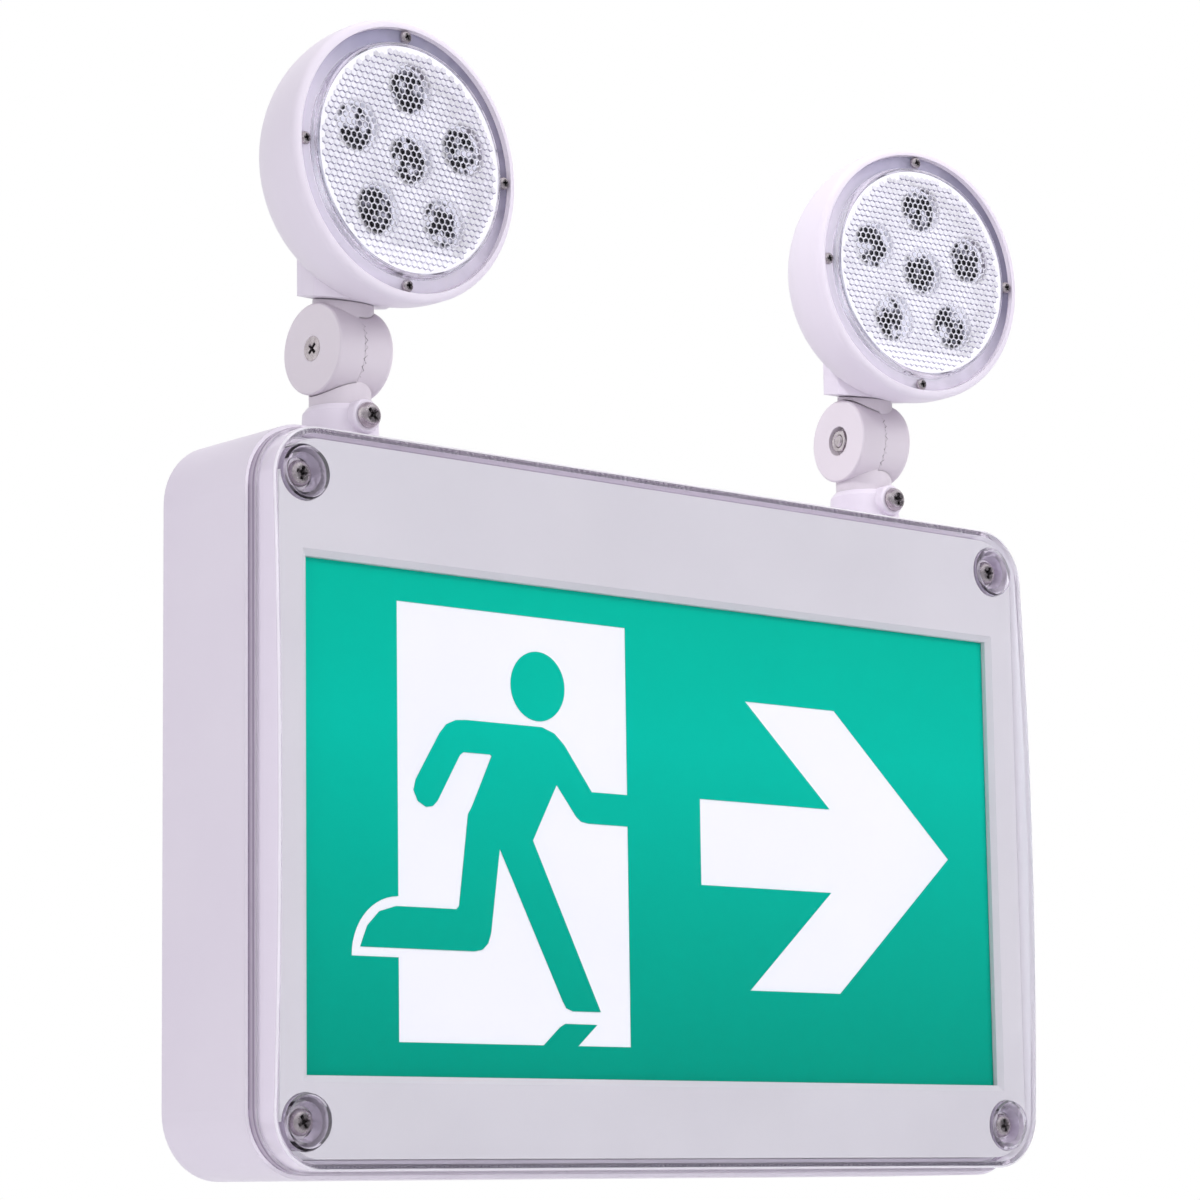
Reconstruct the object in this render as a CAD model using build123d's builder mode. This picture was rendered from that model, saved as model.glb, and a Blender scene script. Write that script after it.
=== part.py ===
from build123d import *
from math import cos, radians, sin
import os

# All sizes are in millimetres. X runs along the sign, Z is up and the front faces -Y.
# The origin is the centre of the flat wall face, so a depth d in front of it is y = -d.

BODY_W = 320.0
BODY_H = 220.0
BODY_R = 20.0
RIM_DEPTH = 41.5
WALL = 3.0
RIM_WALL = 5.6
CONTACT = 0.05

# Front cover
FLANGE_INSET = 1.1
FLANGE_DEPTH = 44.9
STEP_INSET = 2.0
FACE_INSET = 2.3
FACE_EDGE_R = 16.0
FACE_DEPTH = 55.1
FACE_BOW_RISE = 3.288
FACE_BOW_R = (BODY_H / 2) ** 2 / (2 * FACE_BOW_RISE)
COVER_T = 2.0
WELL_FROM_SIDE = 14.7
WELL_FROM_END = 16.2
WELL_X = BODY_W / 2 - WELL_FROM_SIDE
WELL_Z = BODY_H / 2 - WELL_FROM_END
WELL_RIM_R = 7.7
WELL_BORE_R = 5.9
WELL_FLOOR_R = 4.7
WELL_WALL_R = 8.2
WELL_RIM_DEPTH = 51.9
WELL_FLOOR_DEPTH = 47.5
WELL_SEAT_DEPTH = 45.2
COVER_SCREW_R = 2.0
COVER_HEAD_R = 4.0
COVER_HEAD_H = 2.4

# Legend and its frame
LEGEND_FROM_SIDE = 17.4
LEGEND_FROM_END = 35.0
LEGEND_W = BODY_W - 2 * LEGEND_FROM_SIDE
LEGEND_H = BODY_H - 2 * LEGEND_FROM_END
LEGEND_Z = -5.5
LEGEND_DEPTH = 46.6
PRINT_T = 0.2
SHEET_T = 0.8
DIFFUSER_T = 2.0
FRAME_DEPTH = 49.6
FRAME_T = 2.0
FRAME_BEVEL = 2.0
FRAME_INSET = 5.7
FRAME_W = BODY_W - 2 * FRAME_INSET
FRAME_H = BODY_H - 2 * FRAME_INSET
FRAME_R = 14.3
FRAME_SIDE_T = 1.2
FRAME_SIDE_DEPTH = 41.8
WINDOW_EXTRA = 1.3
WINDOW_W = LEGEND_W + WINDOW_EXTRA
WINDOW_X = -WINDOW_EXTRA / 2
REBATE = 2.0
SKIRT_T = 1.8
LUG_X = 60.0
LUG_W = 10.0

# Light tray behind the legend
TRAY_BACK = 23.0
TRAY_FLOOR_T = 2.0
TRAY_WALL = 1.6
TRAY_FLANGE_DEPTH = 41.0
TRAY_FLANGE_T = 2.0
TRAY_EAR_FROM_SIDE = 10.5
TRAY_EAR_X = BODY_W / 2 - TRAY_EAR_FROM_SIDE
TRAY_EAR_Z = 0.4 * LEGEND_H
POST_R = 3.6

# Lamp stems, knuckles and heads
STEM_FROM_SIDE = 48.0
STEM_X = BODY_W / 2 - STEM_FROM_SIDE
STEM_Y = -23.75
COLLAR_H = 11.3
COLLAR_TOP_R = 10.6
COLLAR_MID_R = 11.9
COLLAR_BASE_R = 13.1
NECK_R = 9.5
NECK_SUNK = 9.0
NECK_BOTTOM = BODY_H / 2 - NECK_SUNK
KNUCKLE_RISE = 28.7
KNUCKLE_Z = BODY_H / 2 + KNUCKLE_RISE
DISC_R = 14.1
DISC_HALF = 10.8
SPLIT_X = -1.2
SPLIT_GAP = 0.05
SADDLE_R = DISC_R + 0.3
CLAMP_RISE = 7.2
CLAMP_Z = BODY_H / 2 + CLAMP_RISE
CLAMP_BOSS_R = 5.2
CLAMP_BOSS_OUT = 13.7
CLAMP_HEAD_H = 2.9
GROOVE_R = 8.7
GROOVE_H = 4.8
UPPER_NECK_R = 9.8
UPPER_NECK_TOP_R = 9.2
UPPER_NECK_Y = -1.6
TENON_Y = -5.0
TENON_R = 5.0
PIVOT_R = 2.0
PIVOT_HEAD_R = 3.9
NUT_FLATS = 7.0
NUT_T = 2.8
NUT_RECESS_R = 5.0
NUT_RECESS = 3.0
HEAD_RISE = 53.2
HEAD_Z = KNUCKLE_Z + HEAD_RISE
RING_Y = -31.9
RIM_Y = -33.4
HEAD_R = 43.2
HEAD_WALL = 2.2
LIP_R = 2.4
RIM_BAND = 5.5
SHOULDER_R = 34.0
BOWL_DEPTH = 41.9
BLOCK_HALF = 14.0
BLOCK_BACK_Y = 4.1
BLOCK_RISE = 16.7
BLOCK_BACK_Z = KNUCKLE_Z + BLOCK_RISE
BLOCK_SLOPE = 0.186
BLOCK_SIDE_END = -5.0
BLOCK_NOSE_Y = -20.0
BLOCK_NOSE_HALF = 5.0
POCKET_R = 7.0
POCKET_RISE = 21.8
POCKET_Z = KNUCKLE_Z + POCKET_RISE
LEDGE_R = 34.7
LEDGE_T = 2.6
LENS_FLANGE_T = 2.4
LENS_R = 40.4
LENS_SEAL_R = 36.3
LENS_SEAL_W = 1.0
LENS_DISC_R = 36.2
LENS_RISE = 2.7
LENS_T = 2.2
LENS_SCREW_PCR = 38.4
LENS_SCREW_R = 1.1
LENS_HEAD_R = 2.0
LENS_HEAD_H = 1.5
OPTIC_PCR = 21.5
OPTIC_R = 8.0
OPTIC_H = 9.2
LED_BOARD_Y = -22.0
LED_BOARD_T = 1.6
LED_BOARD_R = 33.8
LEFT_PAN = 1.5
RIGHT_PAN = -6.7

# Test button and pilot lamp in the underside
BUTTON_X = 60.0
PILOT_X = 78.0
BUTTON_R = 5.0
BUTTON_TRAVEL = 1.5
BUTTON_CLEAR = 0.08
CABLE_R = 10.5
CABLE_FROM_TOP = 62.0
CABLE_Z = BODY_H / 2 - CABLE_FROM_TOP
WALL_HOLE_FROM_SIDE = 35.0
WALL_HOLE_FROM_END = 15.0
WALL_HOLE_X = BODY_W / 2 - WALL_HOLE_FROM_SIDE
WALL_HOLE_Z = BODY_H / 2 - WALL_HOLE_FROM_END
WALL_HOLE_R = 2.5

# Battery pack, control board and terminal block on the back wall
CELL_R = 7.1
CELL_L = 49.0
CELL_STEP = 14.6
CELL_SIDE_STEP = 51.0
CRADLE_W = 109.0
CRADLE_H = 51.0
CRADLE_X = -BODY_W / 2 + 70.5
CRADLE_Z = -BODY_H / 2 + 62.6
STRAP_W = 14.0
STRAP_T = 1.0
STRAP_STEP = 49.0
BOARD_W = 114.0
BOARD_H = 74.0
BOARD_T = 1.6
BOARD_X = 0.203125 * BODY_W
BOARD_Z = -30.0 / 220.0 * BODY_H
TERMINAL_X = 50.0
TERMINAL_Z = CABLE_Z + 2.0
TERMINAL_STEP = 10.0

os.makedirs("parts", exist_ok=True)


def save(shape, name):
    shape.label = name
    export_step(shape, f"parts/{name}.step")


def front_plane(depth):
    # A sketch plane in front of the wall face, with its normal towards the viewer.
    return Plane.XZ.offset(depth)


wells = [(x, z) for x in (-WELL_X, WELL_X) for z in (-WELL_Z, WELL_Z)]
ears = [(x, z) for x in (-TRAY_EAR_X, TRAY_EAR_X) for z in (LEGEND_Z - TRAY_EAR_Z, LEGEND_Z + TRAY_EAR_Z)]
board_posts = [(x, z) for x in (BOARD_X - 50.0, BOARD_X + 50.0) for z in (BOARD_Z - 30.0, BOARD_Z + 30.0)]
inner_w = BODY_W - 2 * WALL
inner_h = BODY_H - 2 * WALL
mouth_w = BODY_W - 2 * RIM_WALL
mouth_h = BODY_H - 2 * RIM_WALL
top_z = BODY_H / 2
stems = [(-STEM_X, STEM_Y), (STEM_X, STEM_Y)]
collar_outline = [
    (STEM_Y, top_z - 1.0),
    (STEM_Y - COLLAR_BASE_R, top_z - 1.0),
    (STEM_Y - COLLAR_BASE_R, top_z),
    (STEM_Y - COLLAR_MID_R - 0.3, top_z + 1.1),
    (STEM_Y - COLLAR_MID_R, top_z + 2.5),
    (STEM_Y - COLLAR_TOP_R - 0.9, top_z + COLLAR_H - 1.8),
    (STEM_Y - COLLAR_TOP_R, top_z + COLLAR_H - 0.6),
    (STEM_Y - COLLAR_TOP_R + 0.5, top_z + COLLAR_H),
    (STEM_Y, top_z + COLLAR_H),
]

# Rear housing: deep moulded tray with thick rim, screw pillars and the two stem collars.
with BuildPart() as back_housing:
    with BuildSketch(Plane.XZ):
        RectangleRounded(BODY_W, BODY_H, BODY_R)
    extrude(amount=RIM_DEPTH)
    with BuildSketch(front_plane(WALL)):
        RectangleRounded(inner_w, inner_h, BODY_R - WALL)
    extrude(amount=RIM_DEPTH - 8.0 - WALL, mode=Mode.SUBTRACT)
    with BuildSketch(front_plane(RIM_DEPTH - 8.0)):
        RectangleRounded(inner_w, inner_h, BODY_R - WALL)
    with BuildSketch(front_plane(RIM_DEPTH - 5.4)):
        RectangleRounded(mouth_w, mouth_h, BODY_R - RIM_WALL)
    loft(ruled=True, mode=Mode.SUBTRACT)
    with BuildSketch(front_plane(RIM_DEPTH - 5.4)):
        RectangleRounded(mouth_w, mouth_h, BODY_R - RIM_WALL)
    extrude(amount=5.4, mode=Mode.SUBTRACT)
    with BuildSketch(front_plane(RIM_DEPTH - 2.0)):
        RectangleRounded(BODY_W - 4.6, BODY_H - 4.6, BODY_R - 2.3)
        RectangleRounded(BODY_W - 8.8, BODY_H - 8.8, BODY_R - 4.4, mode=Mode.SUBTRACT)
    extrude(amount=2.0, mode=Mode.SUBTRACT)
    with BuildSketch(front_plane(WALL - 0.5)):
        with Locations(*wells):
            Circle(5.0)
    extrude(amount=WELL_SEAT_DEPTH - WALL + 0.5)
    with BuildSketch(front_plane(WALL - 0.5)):
        with Locations(*ears):
            Circle(POST_R)
    extrude(amount=TRAY_FLANGE_DEPTH - TRAY_FLANGE_T - WALL + 0.5)
    with BuildSketch(front_plane(WALL - 0.5)):
        with Locations(*board_posts):
            Circle(3.2)
    extrude(amount=5.5)
    with BuildSketch(front_plane(WELL_SEAT_DEPTH)):
        with Locations(*wells):
            Circle(COVER_SCREW_R + CONTACT)
    extrude(amount=-20.0, mode=Mode.SUBTRACT)
    with BuildSketch(front_plane(TRAY_FLANGE_DEPTH - TRAY_FLANGE_T)):
        with Locations(*ears):
            Circle(1.5 + CONTACT)
    extrude(amount=-12.0, mode=Mode.SUBTRACT)
    with BuildSketch(front_plane(8.0)):
        with Locations(*board_posts):
            Circle(1.25 + CONTACT)
    extrude(amount=-4.5, mode=Mode.SUBTRACT)
    # Stem collars, each with a forward boss for its clamp screw.
    for stem_x in (-STEM_X, STEM_X):
        with BuildSketch(Plane.YZ.offset(stem_x)):
            with BuildLine():
                Polyline(*collar_outline, close=True)
            make_face()
        revolve(axis=Axis((stem_x, STEM_Y, 0), (0, 0, 1)))
    with BuildSketch(front_plane(-STEM_Y)):
        with Locations((-STEM_X, CLAMP_Z), (STEM_X, CLAMP_Z)):
            Circle(CLAMP_BOSS_R)
    extrude(amount=CLAMP_BOSS_OUT)
    boss_rims = back_housing.edges().filter_by(GeomType.CIRCLE).filter_by(
        lambda e: abs(e.center().Y - STEM_Y + CLAMP_BOSS_OUT) < 0.01
    )
    fillet(boss_rims, 0.9)
    with BuildSketch(Plane.XY.offset(top_z - WALL - 1.0)):
        with Locations(*stems):
            Circle(NECK_R + CONTACT)
    extrude(amount=WALL + COLLAR_H + 4.0, mode=Mode.SUBTRACT)
    with BuildSketch(front_plane(-STEM_Y + NECK_R - 2.0)):
        with Locations((-STEM_X, CLAMP_Z), (STEM_X, CLAMP_Z)):
            Circle(2.0 + CONTACT)
    extrude(amount=10.0, mode=Mode.SUBTRACT)
    # Wall screw holes and the cable entry.
    with BuildSketch(Plane.XZ):
        with Locations((-WALL_HOLE_X, -WALL_HOLE_Z), (WALL_HOLE_X, -WALL_HOLE_Z)):
            Circle(WALL_HOLE_R)
        with Locations((-WALL_HOLE_X, WALL_HOLE_Z), (WALL_HOLE_X, WALL_HOLE_Z)):
            Circle(WALL_HOLE_R)
        with Locations((0, CABLE_Z)):
            Circle(CABLE_R)
    extrude(amount=WALL, mode=Mode.SUBTRACT)
    # Guide tube for the test button, with the seat of its switch on top, and the two holes.
    with BuildSketch(Plane.XY.offset(-top_z + WALL - 0.5)):
        with Locations((BUTTON_X, STEM_Y)):
            Circle(8.0)
    extrude(amount=5.0)
    with BuildSketch(Plane.XY.offset(-top_z + WALL)):
        with Locations((BUTTON_X, STEM_Y)):
            Circle(6.6)
    extrude(amount=5.0, mode=Mode.SUBTRACT)
    with BuildSketch(Plane.XY.offset(-top_z)):
        with Locations((BUTTON_X, STEM_Y)):
            Circle(BUTTON_R + BUTTON_CLEAR)
        with Locations((PILOT_X, STEM_Y)):
            Circle(2.5 + CONTACT)
    extrude(amount=WALL, mode=Mode.SUBTRACT)
save(back_housing.part, "back_housing")

# Seal lying in the groove of the rim.
with BuildPart() as cover_seal:
    with BuildSketch(front_plane(RIM_DEPTH - 2.0)):
        RectangleRounded(BODY_W - 4.8, BODY_H - 4.8, BODY_R - 2.4)
        RectangleRounded(BODY_W - 8.6, BODY_H - 8.6, BODY_R - 4.3, mode=Mode.SUBTRACT)
    extrude(amount=2.0)
save(cover_seal.part, "cover_seal")

# Outer form of the bowed window face, then the space inside it.
with BuildPart() as face_form:
    with BuildSketch(front_plane(FLANGE_DEPTH - 1.0)):
        RectangleRounded(BODY_W - 2 * STEP_INSET, BODY_H - 2 * STEP_INSET, BODY_R - STEP_INSET)
    with BuildSketch(front_plane(FACE_DEPTH + 2.0)):
        RectangleRounded(BODY_W - 2 * FACE_INSET, BODY_H - 2 * FACE_INSET, FACE_EDGE_R)
    loft(ruled=True)
    with Locations((0, FACE_BOW_R - FACE_DEPTH, 0)):
        Cylinder(FACE_BOW_R, BODY_W + 40.0, rotation=(0, 90, 0), mode=Mode.INTERSECT)
    fillet(face_form.faces().sort_by(Axis.Y)[0].edges(), 1.0)

with BuildPart() as face_space:
    with BuildSketch(front_plane(RIM_DEPTH - 1.0)):
        RectangleRounded(BODY_W - 2 * (STEP_INSET + COVER_T), BODY_H - 2 * (STEP_INSET + COVER_T), BODY_R - 4.3)
    with BuildSketch(front_plane(FACE_DEPTH + 2.0)):
        RectangleRounded(BODY_W - 2 * (FACE_INSET + COVER_T), BODY_H - 2 * (FACE_INSET + COVER_T), FACE_EDGE_R - 1.5)
    loft(ruled=True)
    with Locations((0, FACE_BOW_R - FACE_DEPTH, 0)):
        Cylinder(FACE_BOW_R - COVER_T, BODY_W + 40.0, rotation=(0, 90, 0), mode=Mode.INTERSECT)

with BuildPart() as front_cover:
    with BuildSketch(front_plane(RIM_DEPTH)):
        RectangleRounded(BODY_W - 2 * FLANGE_INSET, BODY_H - 2 * FLANGE_INSET, BODY_R - FLANGE_INSET)
    extrude(amount=FLANGE_DEPTH - RIM_DEPTH)
    fillet(front_cover.faces().sort_by(Axis.Y)[0].edges(), 0.6)
    add(face_form.part)
    add(face_space.part, mode=Mode.SUBTRACT)
    with BuildSketch(front_plane(WELL_SEAT_DEPTH)):
        with Locations(*wells):
            Circle(WELL_WALL_R)
    extrude(amount=WELL_RIM_DEPTH - 0.6 - WELL_SEAT_DEPTH)
save(front_cover.part, "front_cover")

# Tool shape of one screw well, revolved about the screw axis.
with BuildPart() as well_tool:
    with BuildSketch(Plane.XZ):
        with BuildLine():
            Polyline(
                (0, 0),
                (WELL_FLOOR_R, 0),
                (WELL_BORE_R, 3.0),
                (WELL_RIM_R - 0.7, 3.9),
                (WELL_RIM_R, WELL_RIM_DEPTH - WELL_FLOOR_DEPTH + 0.6),
                (WELL_RIM_R, 8.0),
                (0, 8.0),
                close=True,
            )
        make_face()
    revolve(axis=Axis.Z)
    with BuildSketch(Plane.XY.offset(-4.0)):
        Circle(COVER_SCREW_R + 0.25)
    extrude(amount=5.0)

cover_shape = front_cover.part
for well_x, well_z in wells:
    spot = Location((well_x, -WELL_FLOOR_DEPTH, well_z), (90, 0, 0))
    cover_shape = cover_shape - well_tool.part.moved(spot)
save(cover_shape, "front_cover")

with BuildPart() as cover_screws:
    with BuildSketch(front_plane(WELL_FLOOR_DEPTH)):
        with Locations(*wells):
            Circle(COVER_HEAD_R)
    extrude(amount=COVER_HEAD_H)
    fillet(cover_screws.edges().group_by(Axis.Y)[0], 1.1)
    with BuildSketch(front_plane(WELL_FLOOR_DEPTH - 18.0)):
        with Locations(*wells):
            Circle(COVER_SCREW_R)
    extrude(amount=18.0)
save(cover_screws.part, "cover_screws")

# Frame round the legend: plate with a side wall, window with bevel, skirt and rebate behind the window.
window_w = WINDOW_W
window_h = LEGEND_H
rebate_w = LEGEND_W + 2 * REBATE
rebate_h = LEGEND_H + 2 * REBATE
lug_out = rebate_h / 2 + SKIRT_T + 1.1


def lug_spots(shift):
    # Centres of the four lugs, moved away from the window by the shift.
    heights = (LEGEND_Z - lug_out - shift, LEGEND_Z + lug_out + shift)
    return [(x, z) for x in (-LUG_X, LUG_X) for z in heights]


with BuildPart() as face_frame:
    with BuildSketch(front_plane(FRAME_DEPTH - FRAME_T)):
        RectangleRounded(FRAME_W, FRAME_H, FRAME_R)
        with Locations(*wells):
            Circle(WELL_WALL_R + 0.3, mode=Mode.SUBTRACT)
    extrude(amount=FRAME_T)
    with BuildSketch(front_plane(FRAME_SIDE_DEPTH)):
        RectangleRounded(FRAME_W, FRAME_H, FRAME_R)
        RectangleRounded(
            FRAME_W - 2 * FRAME_SIDE_T,
            FRAME_H - 2 * FRAME_SIDE_T,
            FRAME_R - FRAME_SIDE_T,
            mode=Mode.SUBTRACT,
        )
        with Locations(*wells):
            Circle(WELL_WALL_R + 0.3, mode=Mode.SUBTRACT)
    extrude(amount=FRAME_DEPTH - FRAME_T - FRAME_SIDE_DEPTH)
    with BuildSketch(front_plane(TRAY_FLANGE_DEPTH)):
        with Locations((0, LEGEND_Z)):
            Rectangle(rebate_w + 2 * SKIRT_T, rebate_h + 2 * SKIRT_T)
    extrude(amount=FRAME_DEPTH - FRAME_T - TRAY_FLANGE_DEPTH)
    with BuildSketch(front_plane(TRAY_FLANGE_DEPTH)):
        with Locations((0, LEGEND_Z)):
            Rectangle(rebate_w, rebate_h)
    extrude(amount=LEGEND_DEPTH - TRAY_FLANGE_DEPTH, mode=Mode.SUBTRACT)
    with BuildSketch(front_plane(LEGEND_DEPTH)):
        with Locations((WINDOW_X, LEGEND_Z)):
            Rectangle(window_w, window_h)
    extrude(amount=FRAME_T + 1.0, mode=Mode.SUBTRACT)
    with BuildSketch(front_plane(FRAME_DEPTH - 1.3)):
        with Locations((WINDOW_X, LEGEND_Z)):
            Rectangle(window_w, window_h)
    with BuildSketch(front_plane(FRAME_DEPTH)):
        with Locations((WINDOW_X, LEGEND_Z)):
            Rectangle(window_w + 2 * FRAME_BEVEL, window_h + 2 * FRAME_BEVEL)
    loft(ruled=True, mode=Mode.SUBTRACT)
    # Four snap lugs on the skirt, which reach through the flange of the tray and hook behind it.
    with BuildSketch(front_plane(TRAY_FLANGE_DEPTH)):
        with Locations(*lug_spots(-0.3)):
            Rectangle(LUG_W, 2.2)
    extrude(amount=3.0)
    with BuildSketch(front_plane(TRAY_FLANGE_DEPTH - TRAY_FLANGE_T - 2.0)):
        with Locations(*lug_spots(0.0)):
            Rectangle(LUG_W, 1.6)
    extrude(amount=TRAY_FLANGE_T + 5.0)
    with BuildSketch(front_plane(TRAY_FLANGE_DEPTH - TRAY_FLANGE_T - 1.9)):
        with Locations(*lug_spots(1.1)):
            Rectangle(LUG_W, 1.4)
    extrude(amount=1.6)
save(face_frame.part, "face_frame")

# White tray that holds the lamps of the legend.
with BuildPart() as light_tray:
    with BuildSketch(front_plane(TRAY_BACK)):
        with Locations((0, LEGEND_Z)):
            Rectangle(LEGEND_W + 2 * TRAY_WALL, LEGEND_H + 2 * TRAY_WALL)
    extrude(amount=LEGEND_DEPTH - PRINT_T - SHEET_T - DIFFUSER_T - TRAY_BACK)
    with BuildSketch(front_plane(TRAY_FLANGE_DEPTH - TRAY_FLANGE_T)):
        with Locations((0, LEGEND_Z)):
            Rectangle(LEGEND_W + 22.0, LEGEND_H + 20.0)
        with Locations(*wells):
            Circle(6.5, mode=Mode.SUBTRACT)
    extrude(amount=TRAY_FLANGE_T)
    with BuildSketch(front_plane(TRAY_BACK + TRAY_FLOOR_T)):
        with Locations((0, LEGEND_Z)):
            Rectangle(LEGEND_W, LEGEND_H)
    extrude(amount=30.0, mode=Mode.SUBTRACT)
    with BuildSketch(front_plane(TRAY_FLANGE_DEPTH - TRAY_FLANGE_T)):
        with Locations(*ears):
            Circle(1.7)
        with Locations(*lug_spots(0.1)):
            Rectangle(LUG_W + 0.6, 2.2)
    extrude(amount=TRAY_FLANGE_T, mode=Mode.SUBTRACT)
save(light_tray.part, "light_tray")

with BuildPart() as tray_screws:
    with BuildSketch(front_plane(TRAY_FLANGE_DEPTH)):
        with Locations(*ears):
            Circle(2.8)
    extrude(amount=2.0)
    with BuildSketch(front_plane(TRAY_FLANGE_DEPTH - 12.0)):
        with Locations(*ears):
            Circle(1.5)
    extrude(amount=12.0)
save(tray_screws.part, "tray_screws")

sheet_back = LEGEND_DEPTH - PRINT_T - SHEET_T
with BuildPart() as legend_diffuser:
    with BuildSketch(front_plane(sheet_back - DIFFUSER_T)):
        with Locations((0, LEGEND_Z)):
            Rectangle(rebate_w - 0.4, rebate_h - 0.4)
    extrude(amount=DIFFUSER_T)
save(legend_diffuser.part, "legend_diffuser")

with BuildPart() as legend_sheet:
    with BuildSketch(front_plane(sheet_back)):
        with Locations((0, LEGEND_Z)):
            Rectangle(rebate_w - 0.4, rebate_h - 0.4)
    extrude(amount=SHEET_T)
save(legend_sheet.part, "legend_sheet")

# Green print: field with the doorway and the arrow left clear, then the running figure.
print_plane = Plane(origin=(0, PRINT_T - LEGEND_DEPTH, LEGEND_Z), x_dir=(1, 0, 0), z_dir=(0, -1, 0))
print_scale = min(LEGEND_W / 285.2, LEGEND_H / 150.0)


def drawn(*points):
    # Points of the drawing, at the scale that fits the sheet.
    return [(x * print_scale, z * print_scale) for x, z in points]


with BuildPart() as legend_print:
    with BuildSketch(print_plane):
        with Locations((WINDOW_X, 0)):
            Rectangle(WINDOW_W - 0.1, LEGEND_H - 0.1)
        with Locations(*drawn((-64.15, 0.2))):
            Rectangle(90.1 * print_scale, 130.3 * print_scale, mode=Mode.SUBTRACT)
        with BuildLine():
            Polyline(
                *drawn(
                    (123.7, 0.0),
                    (71.65, 46.2),
                    (31.7, 46.2),
                    (68.55, 13.6),
                    (11.35, 13.6),
                    (11.35, -13.6),
                    (68.55, -13.6),
                    (31.7, -46.2),
                    (71.65, -46.2),
                ),
                close=True,
            )
        make_face(mode=Mode.SUBTRACT)
        with BuildLine():
            Polyline(*drawn((-109.0, -22.4), (-109.0, -40.3), (-126.4, -40.3)))
            RadiusArc(*drawn((-126.4, -40.3), (-109.0, -22.4)), 17.7 * print_scale)
        make_face(mode=Mode.SUBTRACT)
        # Torso, arms and legs of the figure.
        with BuildLine():
            Polyline(
                *drawn(
                    (-83.0, 31.6),
                    (-53.5, 31.6),
                    (-48.5, 30.0),
                    (-44.5, 26.6),
                    (-33.7, 12.9),
                    (-18.9, 12.9),
                    (-18.9, 3.1),
                    (-35.2, 3.1),
                    (-38.0, 3.5),
                    (-40.0, 4.9),
                    (-47.8, 14.3),
                    (-57.5, -3.3),
                    (-31.2, -54.5),
                    (-42.4, -54.5),
                    (-45.0, -53.6),
                    (-46.5, -51.3),
                    (-70.5, -6.4),
                    (-74.2, -32.0),
                    (-75.3, -35.0),
                    (-77.5, -37.0),
                    (-80.6, -37.6),
                    (-123.2, -37.6),
                    (-120.6, -31.4),
                    (-116.2, -27.1),
                    (-110.0, -25.3),
                    (-87.4, -25.3),
                    (-86.3, -24.3),
                    (-82.6, 3.3),
                    (-81.1, 5.6),
                    (-73.3, 21.4),
                    (-74.0, 21.8),
                    (-84.2, 21.8),
                    (-85.6, 20.8),
                    (-94.2, 6.6),
                    (-96.0, 4.9),
                    (-98.5, 4.5),
                    (-101.6, 6.1),
                    (-103.2, 9.3),
                    (-102.4, 12.5),
                    (-93.2, 27.0),
                    (-90.6, 29.8),
                    (-87.0, 31.3),
                ),
                close=True,
            )
        make_face()
        # Small gap under the leading foot, seen as its contact with the floor.
        with BuildLine():
            Polyline(
                *drawn(
                    (-45.4, -58.3),
                    (-32.7, -58.4),
                    (-40.9, -65.4),
                    (-54.6, -65.4),
                    (-47.6, -59.4),
                ),
                close=True,
            )
        make_face()
        with Locations(*drawn((-54.9, 44.0))):
            Circle(10.7 * print_scale)
    extrude(amount=PRINT_T)
save(legend_print.part, "legend_print")

# Lamp strips on the floor of the tray: two boards with their emitters.
strip_rows = [LEGEND_Z - 0.24 * LEGEND_H, LEGEND_Z + 0.24 * LEGEND_H]
strip_w = LEGEND_W - 15.2
emitter_step = (strip_w - 30.0) / 8
emitters = [(emitter_step * i, z) for z in strip_rows for i in range(-4, 5)]
strip_front = TRAY_BACK + TRAY_FLOOR_T + 1.6
with BuildPart() as strip_boards:
    with BuildSketch(front_plane(TRAY_BACK + TRAY_FLOOR_T)):
        with Locations(*[(0, z) for z in strip_rows]):
            Rectangle(strip_w, 12.0)
    extrude(amount=1.6)
save(strip_boards.part, "strip_boards")

with BuildPart() as strip_emitters:
    with BuildSketch(front_plane(strip_front)):
        with Locations(*emitters):
            Rectangle(3.5, 2.8)
    extrude(amount=1.0)
save(strip_emitters.part, "strip_emitters")

# Battery pack in its cradle on the wall face.
cell_columns = (CRADLE_X - CELL_SIDE_STEP / 2, CRADLE_X + CELL_SIDE_STEP / 2)
cells = [(x, CRADLE_Z + CELL_STEP * row) for x in cell_columns for row in (-1, 0, 1)]
cell_depth = WALL + 1.5 + CELL_R
with BuildPart() as battery_cradle:
    with BuildSketch(front_plane(WALL)):
        with Locations((CRADLE_X, CRADLE_Z)):
            Rectangle(CRADLE_W, CRADLE_H)
    extrude(amount=10.0)
    with BuildSketch(front_plane(WALL + 1.5)):
        with Locations((CRADLE_X, CRADLE_Z)):
            Rectangle(CRADLE_W - 4.0, CRADLE_H - 4.4)
    extrude(amount=10.0, mode=Mode.SUBTRACT)
    with BuildSketch(front_plane(WALL + 1.5)):
        with Locations((CRADLE_X, CRADLE_Z)):
            Rectangle(1.0, CRADLE_H - 4.4)
    extrude(amount=8.5)
save(battery_cradle.part, "battery_cradle")

with BuildPart() as battery_cells:
    for cell_x, cell_z in cells:
        with Locations((cell_x, -cell_depth, cell_z)):
            Cylinder(CELL_R, CELL_L, rotation=(0, 90, 0))
save(battery_cells.part, "battery_cells")

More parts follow.
